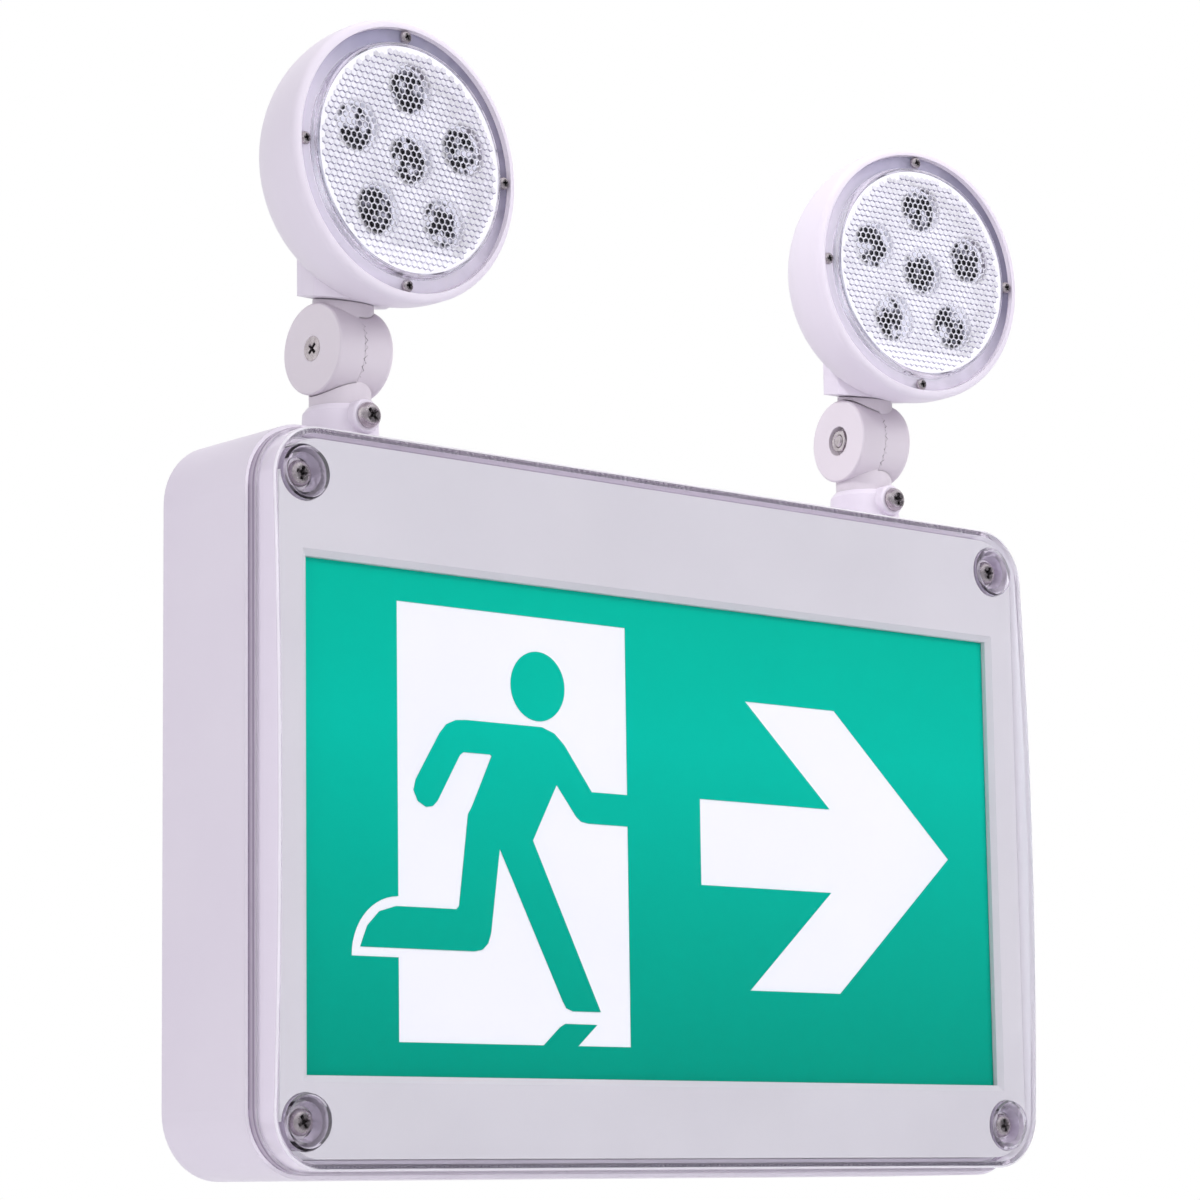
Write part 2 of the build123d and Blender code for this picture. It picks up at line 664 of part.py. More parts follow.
strap_y = -cell_depth - CELL_R - 0.2
strap_low = CRADLE_Z - CRADLE_H / 2 - 0.2
strap_high = CRADLE_Z + CRADLE_H / 2 + 0.2
with BuildPart() as battery_strap:
    with BuildSketch(Plane.YZ.offset(CRADLE_X - STRAP_STEP / 2 - STRAP_W / 2)):
        with BuildLine():
            Polyline(
                (-WALL, strap_low - STRAP_T),
                (strap_y - STRAP_T, strap_low - STRAP_T),
                (strap_y - STRAP_T, strap_high + STRAP_T),
                (-WALL, strap_high + STRAP_T),
                (-WALL, strap_high),
                (strap_y, strap_high),
                (strap_y, strap_low),
                (-WALL, strap_low),
                close=True,
            )
        make_face()
    extrude(amount=STRAP_W)
strap_copy = battery_strap.part + battery_strap.part.moved(Location((STRAP_STEP, 0, 0)))
save(strap_copy, "battery_straps")

# Control board on its pillars, with what is soldered to it.
board_back = 8.0
board_front = board_back + BOARD_T
with BuildPart() as control_board:
    with BuildSketch(front_plane(board_back)):
        with Locations((BOARD_X, BOARD_Z)):
            Rectangle(BOARD_W, BOARD_H)
        with Locations(*board_posts):
            Circle(1.7, mode=Mode.SUBTRACT)
    extrude(amount=board_front - board_back)
save(control_board.part, "control_board")

with BuildPart() as board_screws:
    with BuildSketch(front_plane(board_front)):
        with Locations(*board_posts):
            Circle(2.6)
    extrude(amount=1.8)
    with BuildSketch(front_plane(board_front - 5.5)):
        with Locations(*board_posts):
            Circle(1.25)
    extrude(amount=5.5)
save(board_screws.part, "board_screws")

with BuildPart() as transformer:
    with BuildSketch(front_plane(board_front)):
        with Locations((BOARD_X - 29.0, BOARD_Z - 6.0)):
            Rectangle(30.0, 26.0)
    extrude(amount=12.0)
    with BuildSketch(front_plane(board_front)):
        with Locations((BOARD_X - 29.0, BOARD_Z - 6.0)):
            Rectangle(18.0, 33.0)
    extrude(amount=9.5)
save(transformer.part, "transformer")

with BuildPart() as board_relays:
    with BuildSketch(front_plane(board_front)):
        with Locations((BOARD_X + 7.0, BOARD_Z - 20.0), (BOARD_X + 27.0, BOARD_Z - 20.0)):
            Rectangle(14.0, 11.0)
    extrude(amount=11.0)
save(board_relays.part, "board_relays")

capacitor_spots = [(BOARD_X + x, BOARD_Z + 8.0) for x in (-3.0, 11.0, 25.0)]
with BuildPart() as board_capacitors:
    with BuildSketch(front_plane(board_front)):
        with Locations(*capacitor_spots):
            Circle(5.0)
    extrude(amount=12.0)
save(board_capacitors.part, "board_capacitors")

socket_spots = [(BOARD_X + x, BOARD_Z + 30.0) for x in (-29.0, 1.0, 27.0)]
with BuildPart() as board_sockets:
    with BuildSketch(front_plane(board_front)):
        with Locations(*socket_spots):
            Rectangle(18.0, 7.0)
    extrude(amount=8.0)
    with BuildSketch(front_plane(board_front + 3.0)):
        with Locations(*socket_spots):
            Rectangle(15.0, 4.2)
    extrude(amount=6.0, mode=Mode.SUBTRACT)
save(board_sockets.part, "board_sockets")

# Terminal block beside the cable entry.
terminal_spots = [(TERMINAL_X + TERMINAL_STEP * i, TERMINAL_Z) for i in (-1.5, -0.5, 0.5, 1.5)]
with BuildPart() as terminal_block:
    with BuildSketch(front_plane(WALL)):
        with Locations((TERMINAL_X, TERMINAL_Z)):
            Rectangle(46.0, 16.0)
    extrude(amount=8.0)
    with BuildSketch(front_plane(WALL)):
        with Locations((TERMINAL_X, TERMINAL_Z)):
            Rectangle(46.0, 10.0)
    extrude(amount=14.0)
    with BuildSketch(front_plane(WALL + 14.0)):
        with Locations(*terminal_spots):
            Circle(2.3)
    extrude(amount=-5.0, mode=Mode.SUBTRACT)
save(terminal_block.part, "terminal_block")

with BuildPart() as terminal_screws:
    with BuildSketch(front_plane(WALL + 9.0)):
        with Locations(*terminal_spots):
            Circle(2.1)
    extrude(amount=3.0)
save(terminal_screws.part, "terminal_screws")

# Test button, its switch, and the pilot lamp, flush with the underside.
floor_z = -top_z
with BuildPart() as test_button:
    with BuildSketch(Plane.XY.offset(floor_z + 0.3)):
        with Locations((BUTTON_X, STEM_Y)):
            Circle(BUTTON_R)
    extrude(amount=WALL + 0.7)
    with BuildSketch(Plane.XY.offset(floor_z + WALL)):
        with Locations((BUTTON_X, STEM_Y)):
            Circle(6.2)
    extrude(amount=1.0)
    with BuildSketch(Plane.XY.offset(floor_z + WALL + 1.0)):
        with Locations((BUTTON_X, STEM_Y)):
            Circle(1.5)
    extrude(amount=5.0)
save(test_button.part, "test_button")

with BuildPart() as test_switch:
    with BuildSketch(Plane.XY.offset(floor_z + WALL + 4.5)):
        with Locations((BUTTON_X, STEM_Y)):
            Rectangle(15.0, 12.0)
            Circle(1.9, mode=Mode.SUBTRACT)
    extrude(amount=4.0)
    with BuildSketch(Plane.XY.offset(floor_z + WALL + 8.5)):
        with Locations((BUTTON_X, STEM_Y)):
            Rectangle(12.0, 12.0)
    extrude(amount=5.0)
save(test_switch.part, "test_switch")

with BuildPart() as pilot_lamp:
    with BuildSketch(Plane.XY.offset(floor_z + 0.2)):
        with Locations((PILOT_X, STEM_Y)):
            Circle(2.5)
    extrude(amount=WALL - 0.2)
    with BuildSketch(Plane.XY.offset(floor_z + WALL)):
        with Locations((PILOT_X, STEM_Y)):
            Circle(3.6)
    extrude(amount=1.2)
    with BuildSketch(Plane.XY.offset(floor_z + WALL + 1.2)):
        with Locations((PILOT_X, STEM_Y)):
            Circle(2.4)
    extrude(amount=5.0)
save(pilot_lamp.part, "pilot_lamp")

with BuildPart() as clamp_screws:
    with BuildSketch(front_plane(-STEM_Y + CLAMP_BOSS_OUT)):
        with Locations((-STEM_X, CLAMP_Z), (STEM_X, CLAMP_Z)):
            Circle(COVER_HEAD_R)
    extrude(amount=CLAMP_HEAD_H)
    fillet(clamp_screws.edges().group_by(Axis.Y)[0], 1.2)
    with BuildSketch(front_plane(-STEM_Y + GROOVE_R + 0.1)):
        with Locations((-STEM_X, CLAMP_Z), (STEM_X, CLAMP_Z)):
            Circle(2.0)
    extrude(amount=CLAMP_BOSS_OUT - GROOVE_R - 0.1)
save(clamp_screws.part, "clamp_screws")


def bowl(radius, depth, shoulder):
    # Bowl of revolution: straight band behind the rim, shoulder arc, then a flatter crown arc.
    across = radius - shoulder
    down = depth - RIM_BAND
    crown = (across**2 + down**2 - shoulder**2) / (2 * (down - shoulder))
    reach = shoulder / (crown - shoulder)
    meeting = (across * (1 + reach), RIM_BAND + (crown - down) * reach)
    with BuildPart() as body:
        with BuildSketch(Plane.XZ):
            with BuildLine():
                Polyline((0, depth), (0, 0), (radius, 0), (radius, RIM_BAND))
                turn = TangentArc((radius, RIM_BAND), meeting, tangent=(0, 1))
                TangentArc(meeting, (0, depth), tangent=turn % 1)
            make_face()
        revolve(axis=Axis.Z)
    return body.part.moved(Location((0, RIM_Y, HEAD_Z), (-90, 0, 0)))


def head_plane(y):
    # Sketch plane across the lamp head, normal towards the viewer, centred on the head axis.
    return Plane(origin=(0, y, HEAD_Z), x_dir=(1, 0, 0), z_dir=(0, -1, 0))


def ring_spots(count, radius, start):
    turn = 360.0 / count
    angles = [radians(start + turn * i) for i in range(count)]
    return [(radius * cos(a), radius * sin(a)) for a in angles]


lens_spots = ring_spots(4, LENS_SCREW_PCR, 0.0)
post_spots = ring_spots(4, 27.0, 45.0)
optic_spots = [(0.0, 0.0)] + ring_spots(5, OPTIC_PCR, 90.0)


def disc_span(on_right):
    # Stretch along X of the knuckle disc on one side of the split.
    if on_right:
        return SPLIT_X, DISC_HALF, 2.8
    return -DISC_HALF, SPLIT_X - SPLIT_GAP, 0.8


def knuckle_disc(on_right):
    low, high, edge_r = disc_span(on_right)
    with BuildPart() as disc:
        with Locations(((low + high) / 2, 0, KNUCKLE_Z)):
            Cylinder(DISC_R, high - low, rotation=(0, 90, 0))
        rims = disc.edges().filter_by(GeomType.CIRCLE).sort_by(Axis.X)
        fillet(rims[-1] if on_right else rims[0], edge_r)
    return disc.part


def saddle(on_right):
    # Room for the disc of the other arm.
    low, high = (SPLIT_X - SPLIT_GAP, 20.0) if on_right else (-20.0, SPLIT_X)
    with BuildPart() as room:
        with Locations(((low + high) / 2, 0, KNUCKLE_Z)):
            Cylinder(SADDLE_R, high - low, rotation=(0, 90, 0))
    return room.part


def lower_arm_shape(disc_right):
    with BuildPart() as arm:
        with BuildSketch(Plane.XY.offset(NECK_BOTTOM)):
            Circle(NECK_R)
        extrude(amount=KNUCKLE_Z - NECK_BOTTOM)
        with BuildSketch(Plane.XY.offset(CLAMP_Z - GROOVE_H / 2)):
            Circle(NECK_R + 1.0)
            Circle(GROOVE_R, mode=Mode.SUBTRACT)
        extrude(amount=GROOVE_H, mode=Mode.SUBTRACT)
        add(saddle(not disc_right), mode=Mode.SUBTRACT)
        add(knuckle_disc(disc_right))
        with BuildSketch(Plane.XY.offset(NECK_BOTTOM)):
            Circle(5.0)
        extrude(amount=20.0, mode=Mode.SUBTRACT)
        with BuildSketch(Plane.YZ.offset(-20.0)):
            with Locations((0, KNUCKLE_Z)):
                Circle(PIVOT_R + CONTACT)
        extrude(amount=40.0, mode=Mode.SUBTRACT)
        with BuildSketch(Plane.YZ.offset(DISC_HALF if disc_right else -DISC_HALF)):
            with Locations((0, KNUCKLE_Z)):
                Circle(NUT_RECESS_R)
        extrude(amount=-NUT_RECESS if disc_right else NUT_RECESS, mode=Mode.SUBTRACT)
    return arm.part


def upper_arm_shape(disc_right):
    slope = Plane(
        origin=(0, BLOCK_BACK_Y, BLOCK_BACK_Z - 0.3),
        x_dir=(1, 0, 0),
        z_dir=(0, -BLOCK_SLOPE, 1),
    )
    with BuildPart() as arm:
        with BuildSketch(Plane.XY.offset(KNUCKLE_Z)):
            with Locations((0, UPPER_NECK_Y)):
                Circle(UPPER_NECK_R)
        with BuildSketch(Plane.XY.offset(KNUCKLE_Z + 19.3)):
            with Locations((0, UPPER_NECK_Y)):
                Circle(UPPER_NECK_TOP_R)
        loft(ruled=True)
        split(bisect_by=slope, keep=Keep.BOTTOM)
        with BuildSketch(Plane.XY.offset(POCKET_Z - 11.0)):
            with Locations((0, TENON_Y)):
                Circle(TENON_R)
        extrude(amount=16.5)
        add(saddle(not disc_right), mode=Mode.SUBTRACT)
        add(knuckle_disc(disc_right))
        with BuildSketch(Plane.XY.offset(POCKET_Z - 8.0)):
            with Locations((0, TENON_Y)):
                Circle(3.0)
        extrude(amount=20.0, mode=Mode.SUBTRACT)
        with BuildSketch(Plane.YZ.offset(-20.0)):
            with Locations((0, KNUCKLE_Z)):
                Circle(PIVOT_R + CONTACT)
        extrude(amount=40.0, mode=Mode.SUBTRACT)
        with Locations((DISC_HALF if disc_right else -DISC_HALF, 0, KNUCKLE_Z)):
            Cone(
                PIVOT_HEAD_R + 0.02 + CONTACT,
                PIVOT_R + 0.02,
                2.2,
                rotation=(0, -90 if disc_right else 90, 0),
                align=(Align.CENTER, Align.CENTER, Align.MIN),
                mode=Mode.SUBTRACT,
            )
    return arm.part


def pivot_screw_shape(head_right):
    sign = 1 if head_right else -1
    with BuildPart() as screw:
        with BuildSketch(Plane.XY):
            with BuildLine():
                Polyline(
                    (0, 0),
                    (PIVOT_HEAD_R - 0.05, 0),
                    (PIVOT_R, 2.1),
                    (PIVOT_R, 2 * DISC_HALF - 0.3),
                    (PIVOT_R - 0.5, 2 * DISC_HALF + 0.2),
                    (0, 2 * DISC_HALF + 0.2),
                    close=True,
                )
            make_face()
        revolve(axis=Axis.Y)
    return screw.part.moved(Location((sign * DISC_HALF, 0, KNUCKLE_Z), (0, 0, 90 * sign)))


def pivot_nut_shape(on_right):
    seat = DISC_HALF - NUT_RECESS if on_right else -DISC_HALF + NUT_RECESS
    with BuildPart() as nut:
        with BuildSketch(Plane.YZ.offset(seat)):
            with Locations((0, KNUCKLE_Z)):
                RegularPolygon(NUT_FLATS / 2, 6, major_radius=False, rotation=8.0)
                Circle(PIVOT_R + CONTACT, mode=Mode.SUBTRACT)
        extrude(amount=NUT_T if on_right else -NUT_T)
    return nut.part


def head_block():
    # Foot of the head over the knuckle: flat sides that draw in to a narrow nose under the bowl.
    with BuildPart() as block:
        with BuildSketch(Plane.YZ.offset(-BLOCK_HALF)):
            with BuildLine():
                Polyline(
                    (BLOCK_BACK_Y, BLOCK_BACK_Z),
                    (BLOCK_NOSE_Y, BLOCK_BACK_Z - BLOCK_SLOPE * (BLOCK_BACK_Y - BLOCK_NOSE_Y)),
                    (BLOCK_NOSE_Y, BLOCK_BACK_Z + 12.6),
                    (-8.0, BLOCK_BACK_Z + 19.6),
                    (BLOCK_BACK_Y, BLOCK_BACK_Z + 19.6),
                    close=True,
                )
            make_face()
        extrude(amount=2 * BLOCK_HALF)
        with BuildSketch(Plane.XY.offset(BLOCK_BACK_Z - 10.0)):
            with BuildLine():
                Polyline(
                    (-BLOCK_HALF, BLOCK_BACK_Y),
                    (-BLOCK_HALF, BLOCK_SIDE_END),
                    (-BLOCK_NOSE_HALF, BLOCK_NOSE_Y),
                    (BLOCK_NOSE_HALF, BLOCK_NOSE_Y),
                    (BLOCK_HALF, BLOCK_SIDE_END),
                    (BLOCK_HALF, BLOCK_BACK_Y),
                    close=True,
                )
            make_face()
        extrude(amount=40.0, mode=Mode.INTERSECT)
        corners = block.edges().filter_by(Axis.Z).filter_by(lambda e: abs(e.center().Y - BLOCK_BACK_Y) < 0.01)
        fillet(corners, 1.5)
    return block.part


def head_shell_shape():
    seat_y = RING_Y + LENS_FLANGE_T
    with BuildPart() as space:
        add(bowl(HEAD_R - HEAD_WALL, BOWL_DEPTH - HEAD_WALL, SHOULDER_R - HEAD_WALL))
        with BuildSketch(head_plane(seat_y + LEDGE_T)):
            Circle(HEAD_R + 1.0)
        extrude(amount=20.0, mode=Mode.SUBTRACT)
        with BuildSketch(head_plane(LED_BOARD_Y + LED_BOARD_T)):
            with Locations(*post_spots):
                Circle(3.0)
        extrude(amount=-60.0, mode=Mode.SUBTRACT)
        with BuildSketch(head_plane(RING_Y)):
            with Locations(*lens_spots):
                Circle(2.9)
        extrude(amount=-14.0, mode=Mode.SUBTRACT)
        with BuildSketch(Plane.XY.offset(POCKET_Z)):
            with Locations((0, TENON_Y)):
                Circle(POCKET_R)
        extrude(amount=8.0)
    with BuildPart() as shell:
        add(bowl(HEAD_R, BOWL_DEPTH, SHOULDER_R))
        fillet(shell.edges().filter_by(GeomType.CIRCLE).sort_by(Axis.Y)[0], LIP_R)
        add(head_block())
        add(space.part, mode=Mode.SUBTRACT)
        with BuildSketch(head_plane(seat_y)):
            Circle(LENS_R + 0.1)
        extrude(amount=10.0, mode=Mode.SUBTRACT)
        with BuildSketch(head_plane(seat_y + LEDGE_T)):
            Circle(LEDGE_R)
        extrude(amount=10.0, mode=Mode.SUBTRACT)
        with BuildSketch(head_plane(seat_y + 1.2)):
            Circle(LENS_SEAL_R + LENS_SEAL_W / 2 + 0.05)
            Circle(LENS_SEAL_R - LENS_SEAL_W / 2 - 0.05, mode=Mode.SUBTRACT)
        extrude(amount=3.0, mode=Mode.SUBTRACT)
        with BuildSketch(head_plane(seat_y)):
            with Locations(*lens_spots):
                Circle(LENS_SCREW_R + CONTACT)
        extrude(amount=-9.0, mode=Mode.SUBTRACT)
        with BuildSketch(Plane.XY.offset(POCKET_Z - 12.0)):
            with Locations((0, TENON_Y)):
                Circle(TENON_R + CONTACT)
        extrude(amount=14.0, mode=Mode.SUBTRACT)
    return shell.part


def lens_shape():
    back_y = RING_Y + LENS_FLANGE_T
    with BuildPart() as lens:
        with BuildSketch(Plane.XY):
            with BuildLine():
                Polyline(
                    (0, LENS_FLANGE_T + LENS_RISE - LENS_T),
                    (LENS_DISC_R - LENS_T, LENS_FLANGE_T + LENS_RISE - LENS_T),
                    (LENS_DISC_R - LENS_T, 0),
                    (LENS_R, 0),
                    (LENS_R, LENS_FLANGE_T),
                    (LENS_DISC_R, LENS_FLANGE_T),
                    (LENS_DISC_R - 0.3, LENS_FLANGE_T + LENS_RISE - 1.2),
                    (LENS_DISC_R - 1.5, LENS_FLANGE_T + LENS_RISE - 0.1),
                    (LENS_DISC_R - 3.0, LENS_FLANGE_T + LENS_RISE),
                    (0, LENS_FLANGE_T + LENS_RISE),
                    close=True,
                )
            make_face()
        revolve(axis=Axis.Y)
        with BuildSketch(Plane.XZ):
            with Locations(*lens_spots):
                Circle(LENS_SCREW_R + 0.15)
        extrude(amount=-LENS_FLANGE_T, mode=Mode.SUBTRACT)
    return lens.part.moved(Location((0, back_y, HEAD_Z), (0, 0, 180)))


def lens_seal_shape():
    with BuildPart() as seal:
        with BuildSketch(head_plane(RING_Y + LENS_FLANGE_T + 1.2)):
            Circle(LENS_SEAL_R + LENS_SEAL_W / 2)
            Circle(LENS_SEAL_R - LENS_SEAL_W / 2, mode=Mode.SUBTRACT)
        extrude(amount=1.2)
    return seal.part


def lens_screws_shape():
    with BuildPart() as screws:
        with BuildSketch(head_plane(RING_Y)):
            with Locations(*lens_spots):
                Circle(LENS_HEAD_R)
        extrude(amount=LENS_HEAD_H)
        fillet(screws.edges().group_by(Axis.Y)[0], 0.6)
        with BuildSketch(head_plane(RING_Y)):
            with Locations(*lens_spots):
                Circle(LENS_SCREW_R)
        extrude(amount=-10.0)
    return screws.part


def led_board_shape():
    with BuildPart() as board:
        with BuildSketch(head_plane(LED_BOARD_Y)):
            Circle(LED_BOARD_R)
        extrude(amount=-LED_BOARD_T)
    return board.part


def led_emitters_shape():
    with BuildPart() as chips:
        with BuildSketch(head_plane(LED_BOARD_Y)):
            with Locations(*optic_spots):
                Rectangle(3.4, 3.4)
        extrude(amount=1.0)
    return chips.part


def led_optics_shape():
    with BuildPart() as one:
        with BuildSketch(Plane.XY):
            with BuildLine():
                Polyline(
                    (0, 1.5),
                    (2.6, 1.5),
                    (2.6, 0),
                    (4.2, 0),
                    (6.6, 4.4),
                    (OPTIC_R, OPTIC_H - 1.0),
                    (OPTIC_R, OPTIC_H),
                    (0, OPTIC_H),
                    close=True,
                )
            make_face()
        revolve(axis=Axis.Y)
    shape = None
    for spot_x, spot_z in optic_spots:
        placed = one.part.moved(Location((spot_x, LED_BOARD_Y, HEAD_Z + spot_z), (0, 0, 180)))
        shape = placed if shape is None else shape + placed
    return shape


def head_nut_shape():
    with BuildPart() as nut:
        with BuildSketch(Plane.XY.offset(POCKET_Z)):
            with Locations((0, TENON_Y)):
                RegularPolygon(5.75, 6, major_radius=False)
                Circle(TENON_R + CONTACT, mode=Mode.SUBTRACT)
        extrude(amount=3.5)
    return nut.part


for side, stem_x, pan, disc_right in (("left", -STEM_X, LEFT_PAN, True), ("right", STEM_X, RIGHT_PAN, False)):
    place = Location((stem_x, STEM_Y, 0), (0, 0, pan))
    save(lower_arm_shape(disc_right).moved(place), f"{side}_lower_arm")
    save(upper_arm_shape(not disc_right).moved(place), f"{side}_upper_arm")
    save(pivot_screw_shape(not disc_right).moved(place), f"{side}_pivot_screw")
    save(pivot_nut_shape(disc_right).moved(place), f"{side}_pivot_nut")
    save(head_shell_shape().moved(place), f"{side}_head_shell")
    save(head_nut_shape().moved(place), f"{side}_head_nut")
    save(lens_shape().moved(place), f"{side}_lens")
    save(lens_seal_shape().moved(place), f"{side}_lens_seal")
    save(lens_screws_shape().moved(place), f"{side}_lens_screws")
    save(led_board_shape().moved(place), f"{side}_led_board")
    save(led_emitters_shape().moved(place), f"{side}_led_emitters")
    save(led_optics_shape().moved(place), f"{side}_led_optics")
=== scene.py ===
import bpy
import bmesh
from math import atan2, cos, pi, radians, sin, sqrt
from mathutils import Matrix, Vector


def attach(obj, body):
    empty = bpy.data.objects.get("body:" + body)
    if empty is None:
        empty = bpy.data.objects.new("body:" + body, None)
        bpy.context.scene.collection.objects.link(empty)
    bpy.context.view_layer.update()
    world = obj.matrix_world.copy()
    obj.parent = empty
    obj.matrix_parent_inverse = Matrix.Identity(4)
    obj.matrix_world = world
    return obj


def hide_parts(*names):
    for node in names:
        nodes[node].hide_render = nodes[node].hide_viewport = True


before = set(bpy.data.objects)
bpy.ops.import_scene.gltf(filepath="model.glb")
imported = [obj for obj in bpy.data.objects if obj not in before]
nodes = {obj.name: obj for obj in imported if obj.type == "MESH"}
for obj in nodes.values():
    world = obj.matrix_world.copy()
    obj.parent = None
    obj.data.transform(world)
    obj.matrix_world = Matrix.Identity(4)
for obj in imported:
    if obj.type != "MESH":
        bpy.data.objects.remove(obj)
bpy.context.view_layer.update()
MM = 0.001

# Places and sizes shared with the solids, in millimetres, and the turn of the two lamp units in degrees.
STEM_X = 112.0
STEM_Y = -23.75
LEFT_PAN = 1.5
RIGHT_PAN = -6.7
KNUCKLE_Z = 138.7
KNUCKLE_HALF = 10.8
KNUCKLE_R = 14.1
SPLIT_X = -1.2
NUT_SEAT = 7.8
NUT_T = 2.8
NUT_FLATS = 7.0
HEAD_Z = 191.9
RING_Y = -31.9
LENS_R = 40.4
LENS_DISC_R = 36.2
LENS_FLANGE_T = 2.4
LENS_RISE = 2.7
LENS_T = 2.2
LENS_SCREW_PCR = 38.4
OPTIC_FRONT_Y = -31.2
OPTIC_PCR = 21.5
WELL_X = 145.3
WELL_Z = 93.8
WELL_FLOOR_DEPTH = 47.5
RIM_DEPTH = 41.5
FLANGE_DEPTH = 44.9
COVER_HALF_W = 157.8
COVER_HALF_H = 107.8
COVER_CORNER_R = 16.0
CLAMP_Z = 117.2
CLAMP_SEAT_Y = STEM_Y - 13.7
LEGEND_Z = -5.5
LEGEND_H = 150.0

# Sizes of the patterned lens: its cells, the level margin round them and its rounded edge.
CELL_PITCH = 2.17
CELL_DEPTH = 0.42
CELL_TOP = 0.72
CREST_RISE = 0.05
PATTERN_R = 34.6
PATTERN_MARGIN = 0.25
LENS_STEPS = 144
LENS_EDGE_R = 1.4
LENS_EDGE_STEPS = 8
FLANGE_EDGE = 0.25

# The nut's chamfer and bore: how far below its outer face, and the radius it has there.
NUT_STEPS = 72
NUT_UNCUT_R = 9.0
NUT_CHAMFER = [(0.55, NUT_UNCUT_R), (0.5, 4.02), (0.33, 3.85), (0.16, 3.66), (0.0, 3.4)]
NUT_BORE = [(0.0, 2.45), (0.4, 2.06), (NUT_T, 2.06)]

# The screws' facets, and their cross recess: half the width of a bar, its foot and its narrowing as shares
# of its reach and width, and how far the cut begins above the head.
SCREW_STEPS = 40
CROSS_WIDTH = 0.24
CROSS_FOOT = 0.42
CROSS_TAPER = 0.75
CROSS_RISE = 0.4

# Edges sharper than these angles, in degrees, stay crisp.
SCREW_CREASE = 32.0
NUT_CREASE = 24.0
LENS_CREASE = 18.0

# The broken line that the knuckle's teeth draw on the rim of the arms' discs. Here and below a pair of
# limits, in millimetres, says between which places a tone changes.
TOOTH_PITCH = 2.4
TOOTH_REACH = 1.1
TOOTH_START = 100.0
TOOTH_LINE_X = SPLIT_X - 0.3
TOOTH_LINE_HALF = (0.08, 0.26)
TOOTH_LINE_FRONT = (-9.0, -6.0)
TOOTH_LINE_TOP = (6.2, 7.0)
TOOTH_LINE_FOOT = (-9.5, -8.8)
DISC_RIM = (KNUCKLE_R - 0.6, KNUCKLE_R - 0.3)

# Limits of the tones of the clear cover, the lenses and the optics.
COVER_BAND = (-FLANGE_DEPTH - 0.3, -FLANGE_DEPTH + 0.2)
COVER_WALL = (COVER_CORNER_R - 2.9, COVER_CORNER_R - 2.5)
COVER_FACE_EDGE = (COVER_CORNER_R - 3.6, COVER_CORNER_R - 3.4)
WELL_WALL = (8.4, 8.8)
LENS_RING = (LENS_DISC_R - 0.3, LENS_DISC_R + 0.3)
OPTIC_HALO = (7.0, 8.8)
OPTIC_RIM = (6.8, 7.6)

# Mouldings: the rounding of their edges that catches the light, in metres, and how they bend light.
SOFT_EDGE = 0.0003
PLASTIC_IOR = 1.49

# The photograph's frame and the camera's focal length and shift in its pixels, and where the camera stands,
# low and to the left of the sign, in millimetres and degrees. Sensor and clip are in millimetres and metres.
FRAME_WIDTH = 1200.0
FOCAL_LENGTH = 3696.45
FRAME_SHIFT = 60.0
SENSOR_WIDTH = 36.0
NEAR_CLIP = 0.05
CAMERA_PLACE = (-774.14, -902.32, -118.13)
CAMERA_TURN = 41.054
CAMERA_RISE = 8.380
CAMERA_ROLL = -0.807

# The studio, in metres and watts. The soft box, the dark card and the fade to the back are given by the
# direction of the view, from -1 to 1. A lamp has a place, a point it looks at, a width and a power, and a
# spot lamp also its cone in degrees.
FLOOR_HALF = 4.0
FLOOR_HEIGHT = -0.2
FLOOR_FADE = (0.4, 0.9)
ROOM_LIGHT = 0.62
ROOM_TINT = (0.95, 0.93, 1.0, 1)
CARD_TINT = (0.03, 0.03, 0.035, 1)
CARD_SIDE = (0.22, 0.40)
CARD_MIDDLE = 0.10
CARD_HALF = (0.45, 0.30)
BACK_FADE = (-0.04, 0.04)
SPOT_BLEND = 0.6
SOFT_BOX = [
    (0.0, (0.6, 0.59, 0.63, 1)),
    (0.40, (0.5, 0.5, 0.525, 1)),
    (0.60, (0.45, 0.45, 0.4725, 1)),
    (0.72, (0.9, 0.9, 0.945, 1)),
    (1.0, (1, 1, 1, 1)),
]
LAMPS = [
    ("key lamp", (0.9, -1.6, 1.1), (0.1, 0, 0.1), 1.2, 22.0),
    ("side lamp", (-1.6, -0.6, 0.6), (0, 0, 0.05), 1.0, 5.5),
    ("top lamp", (0.1, 0.1, 1.4), (0, 0, 0.1), 0.8, 5.0),
    ("lamp on the right head", (-1.2, 0.0, 1.2), (0.112, -0.03, 0.175), 0.12, 42.0, 9.0),
]

sides = {"left": (-STEM_X, radians(LEFT_PAN)), "right": (STEM_X, radians(RIGHT_PAN))}
wells = [(x, -WELL_FLOOR_DEPTH, z) for x in (-WELL_X, WELL_X) for z in (-WELL_Z, WELL_Z)]


def linear(red, green, blue):
    # Colour written as 0 to 255 display values.
    out = []
    for value in (red, green, blue):
        c = value / 255.0
        out.append(c / 12.92 if c <= 0.04045 else ((c + 0.055) / 1.055) ** 2.4)
    return (out[0], out[1], out[2], 1.0)


def lamp_place(side):
    # Frame of one lamp unit: origin on the stem axis, turned with the stem.
    stem_x, pan = sides[side]
    return Matrix.Translation((stem_x, STEM_Y, 0)) @ Matrix.Rotation(pan, 4, "Z")


def ring_spots(count, radius, start, y):
    out = []
    for i in range(count):
        turn = radians(start) + 2 * pi * i / count
        out.append((radius * cos(turn), y, HEAD_Z + radius * sin(turn)))
    return out


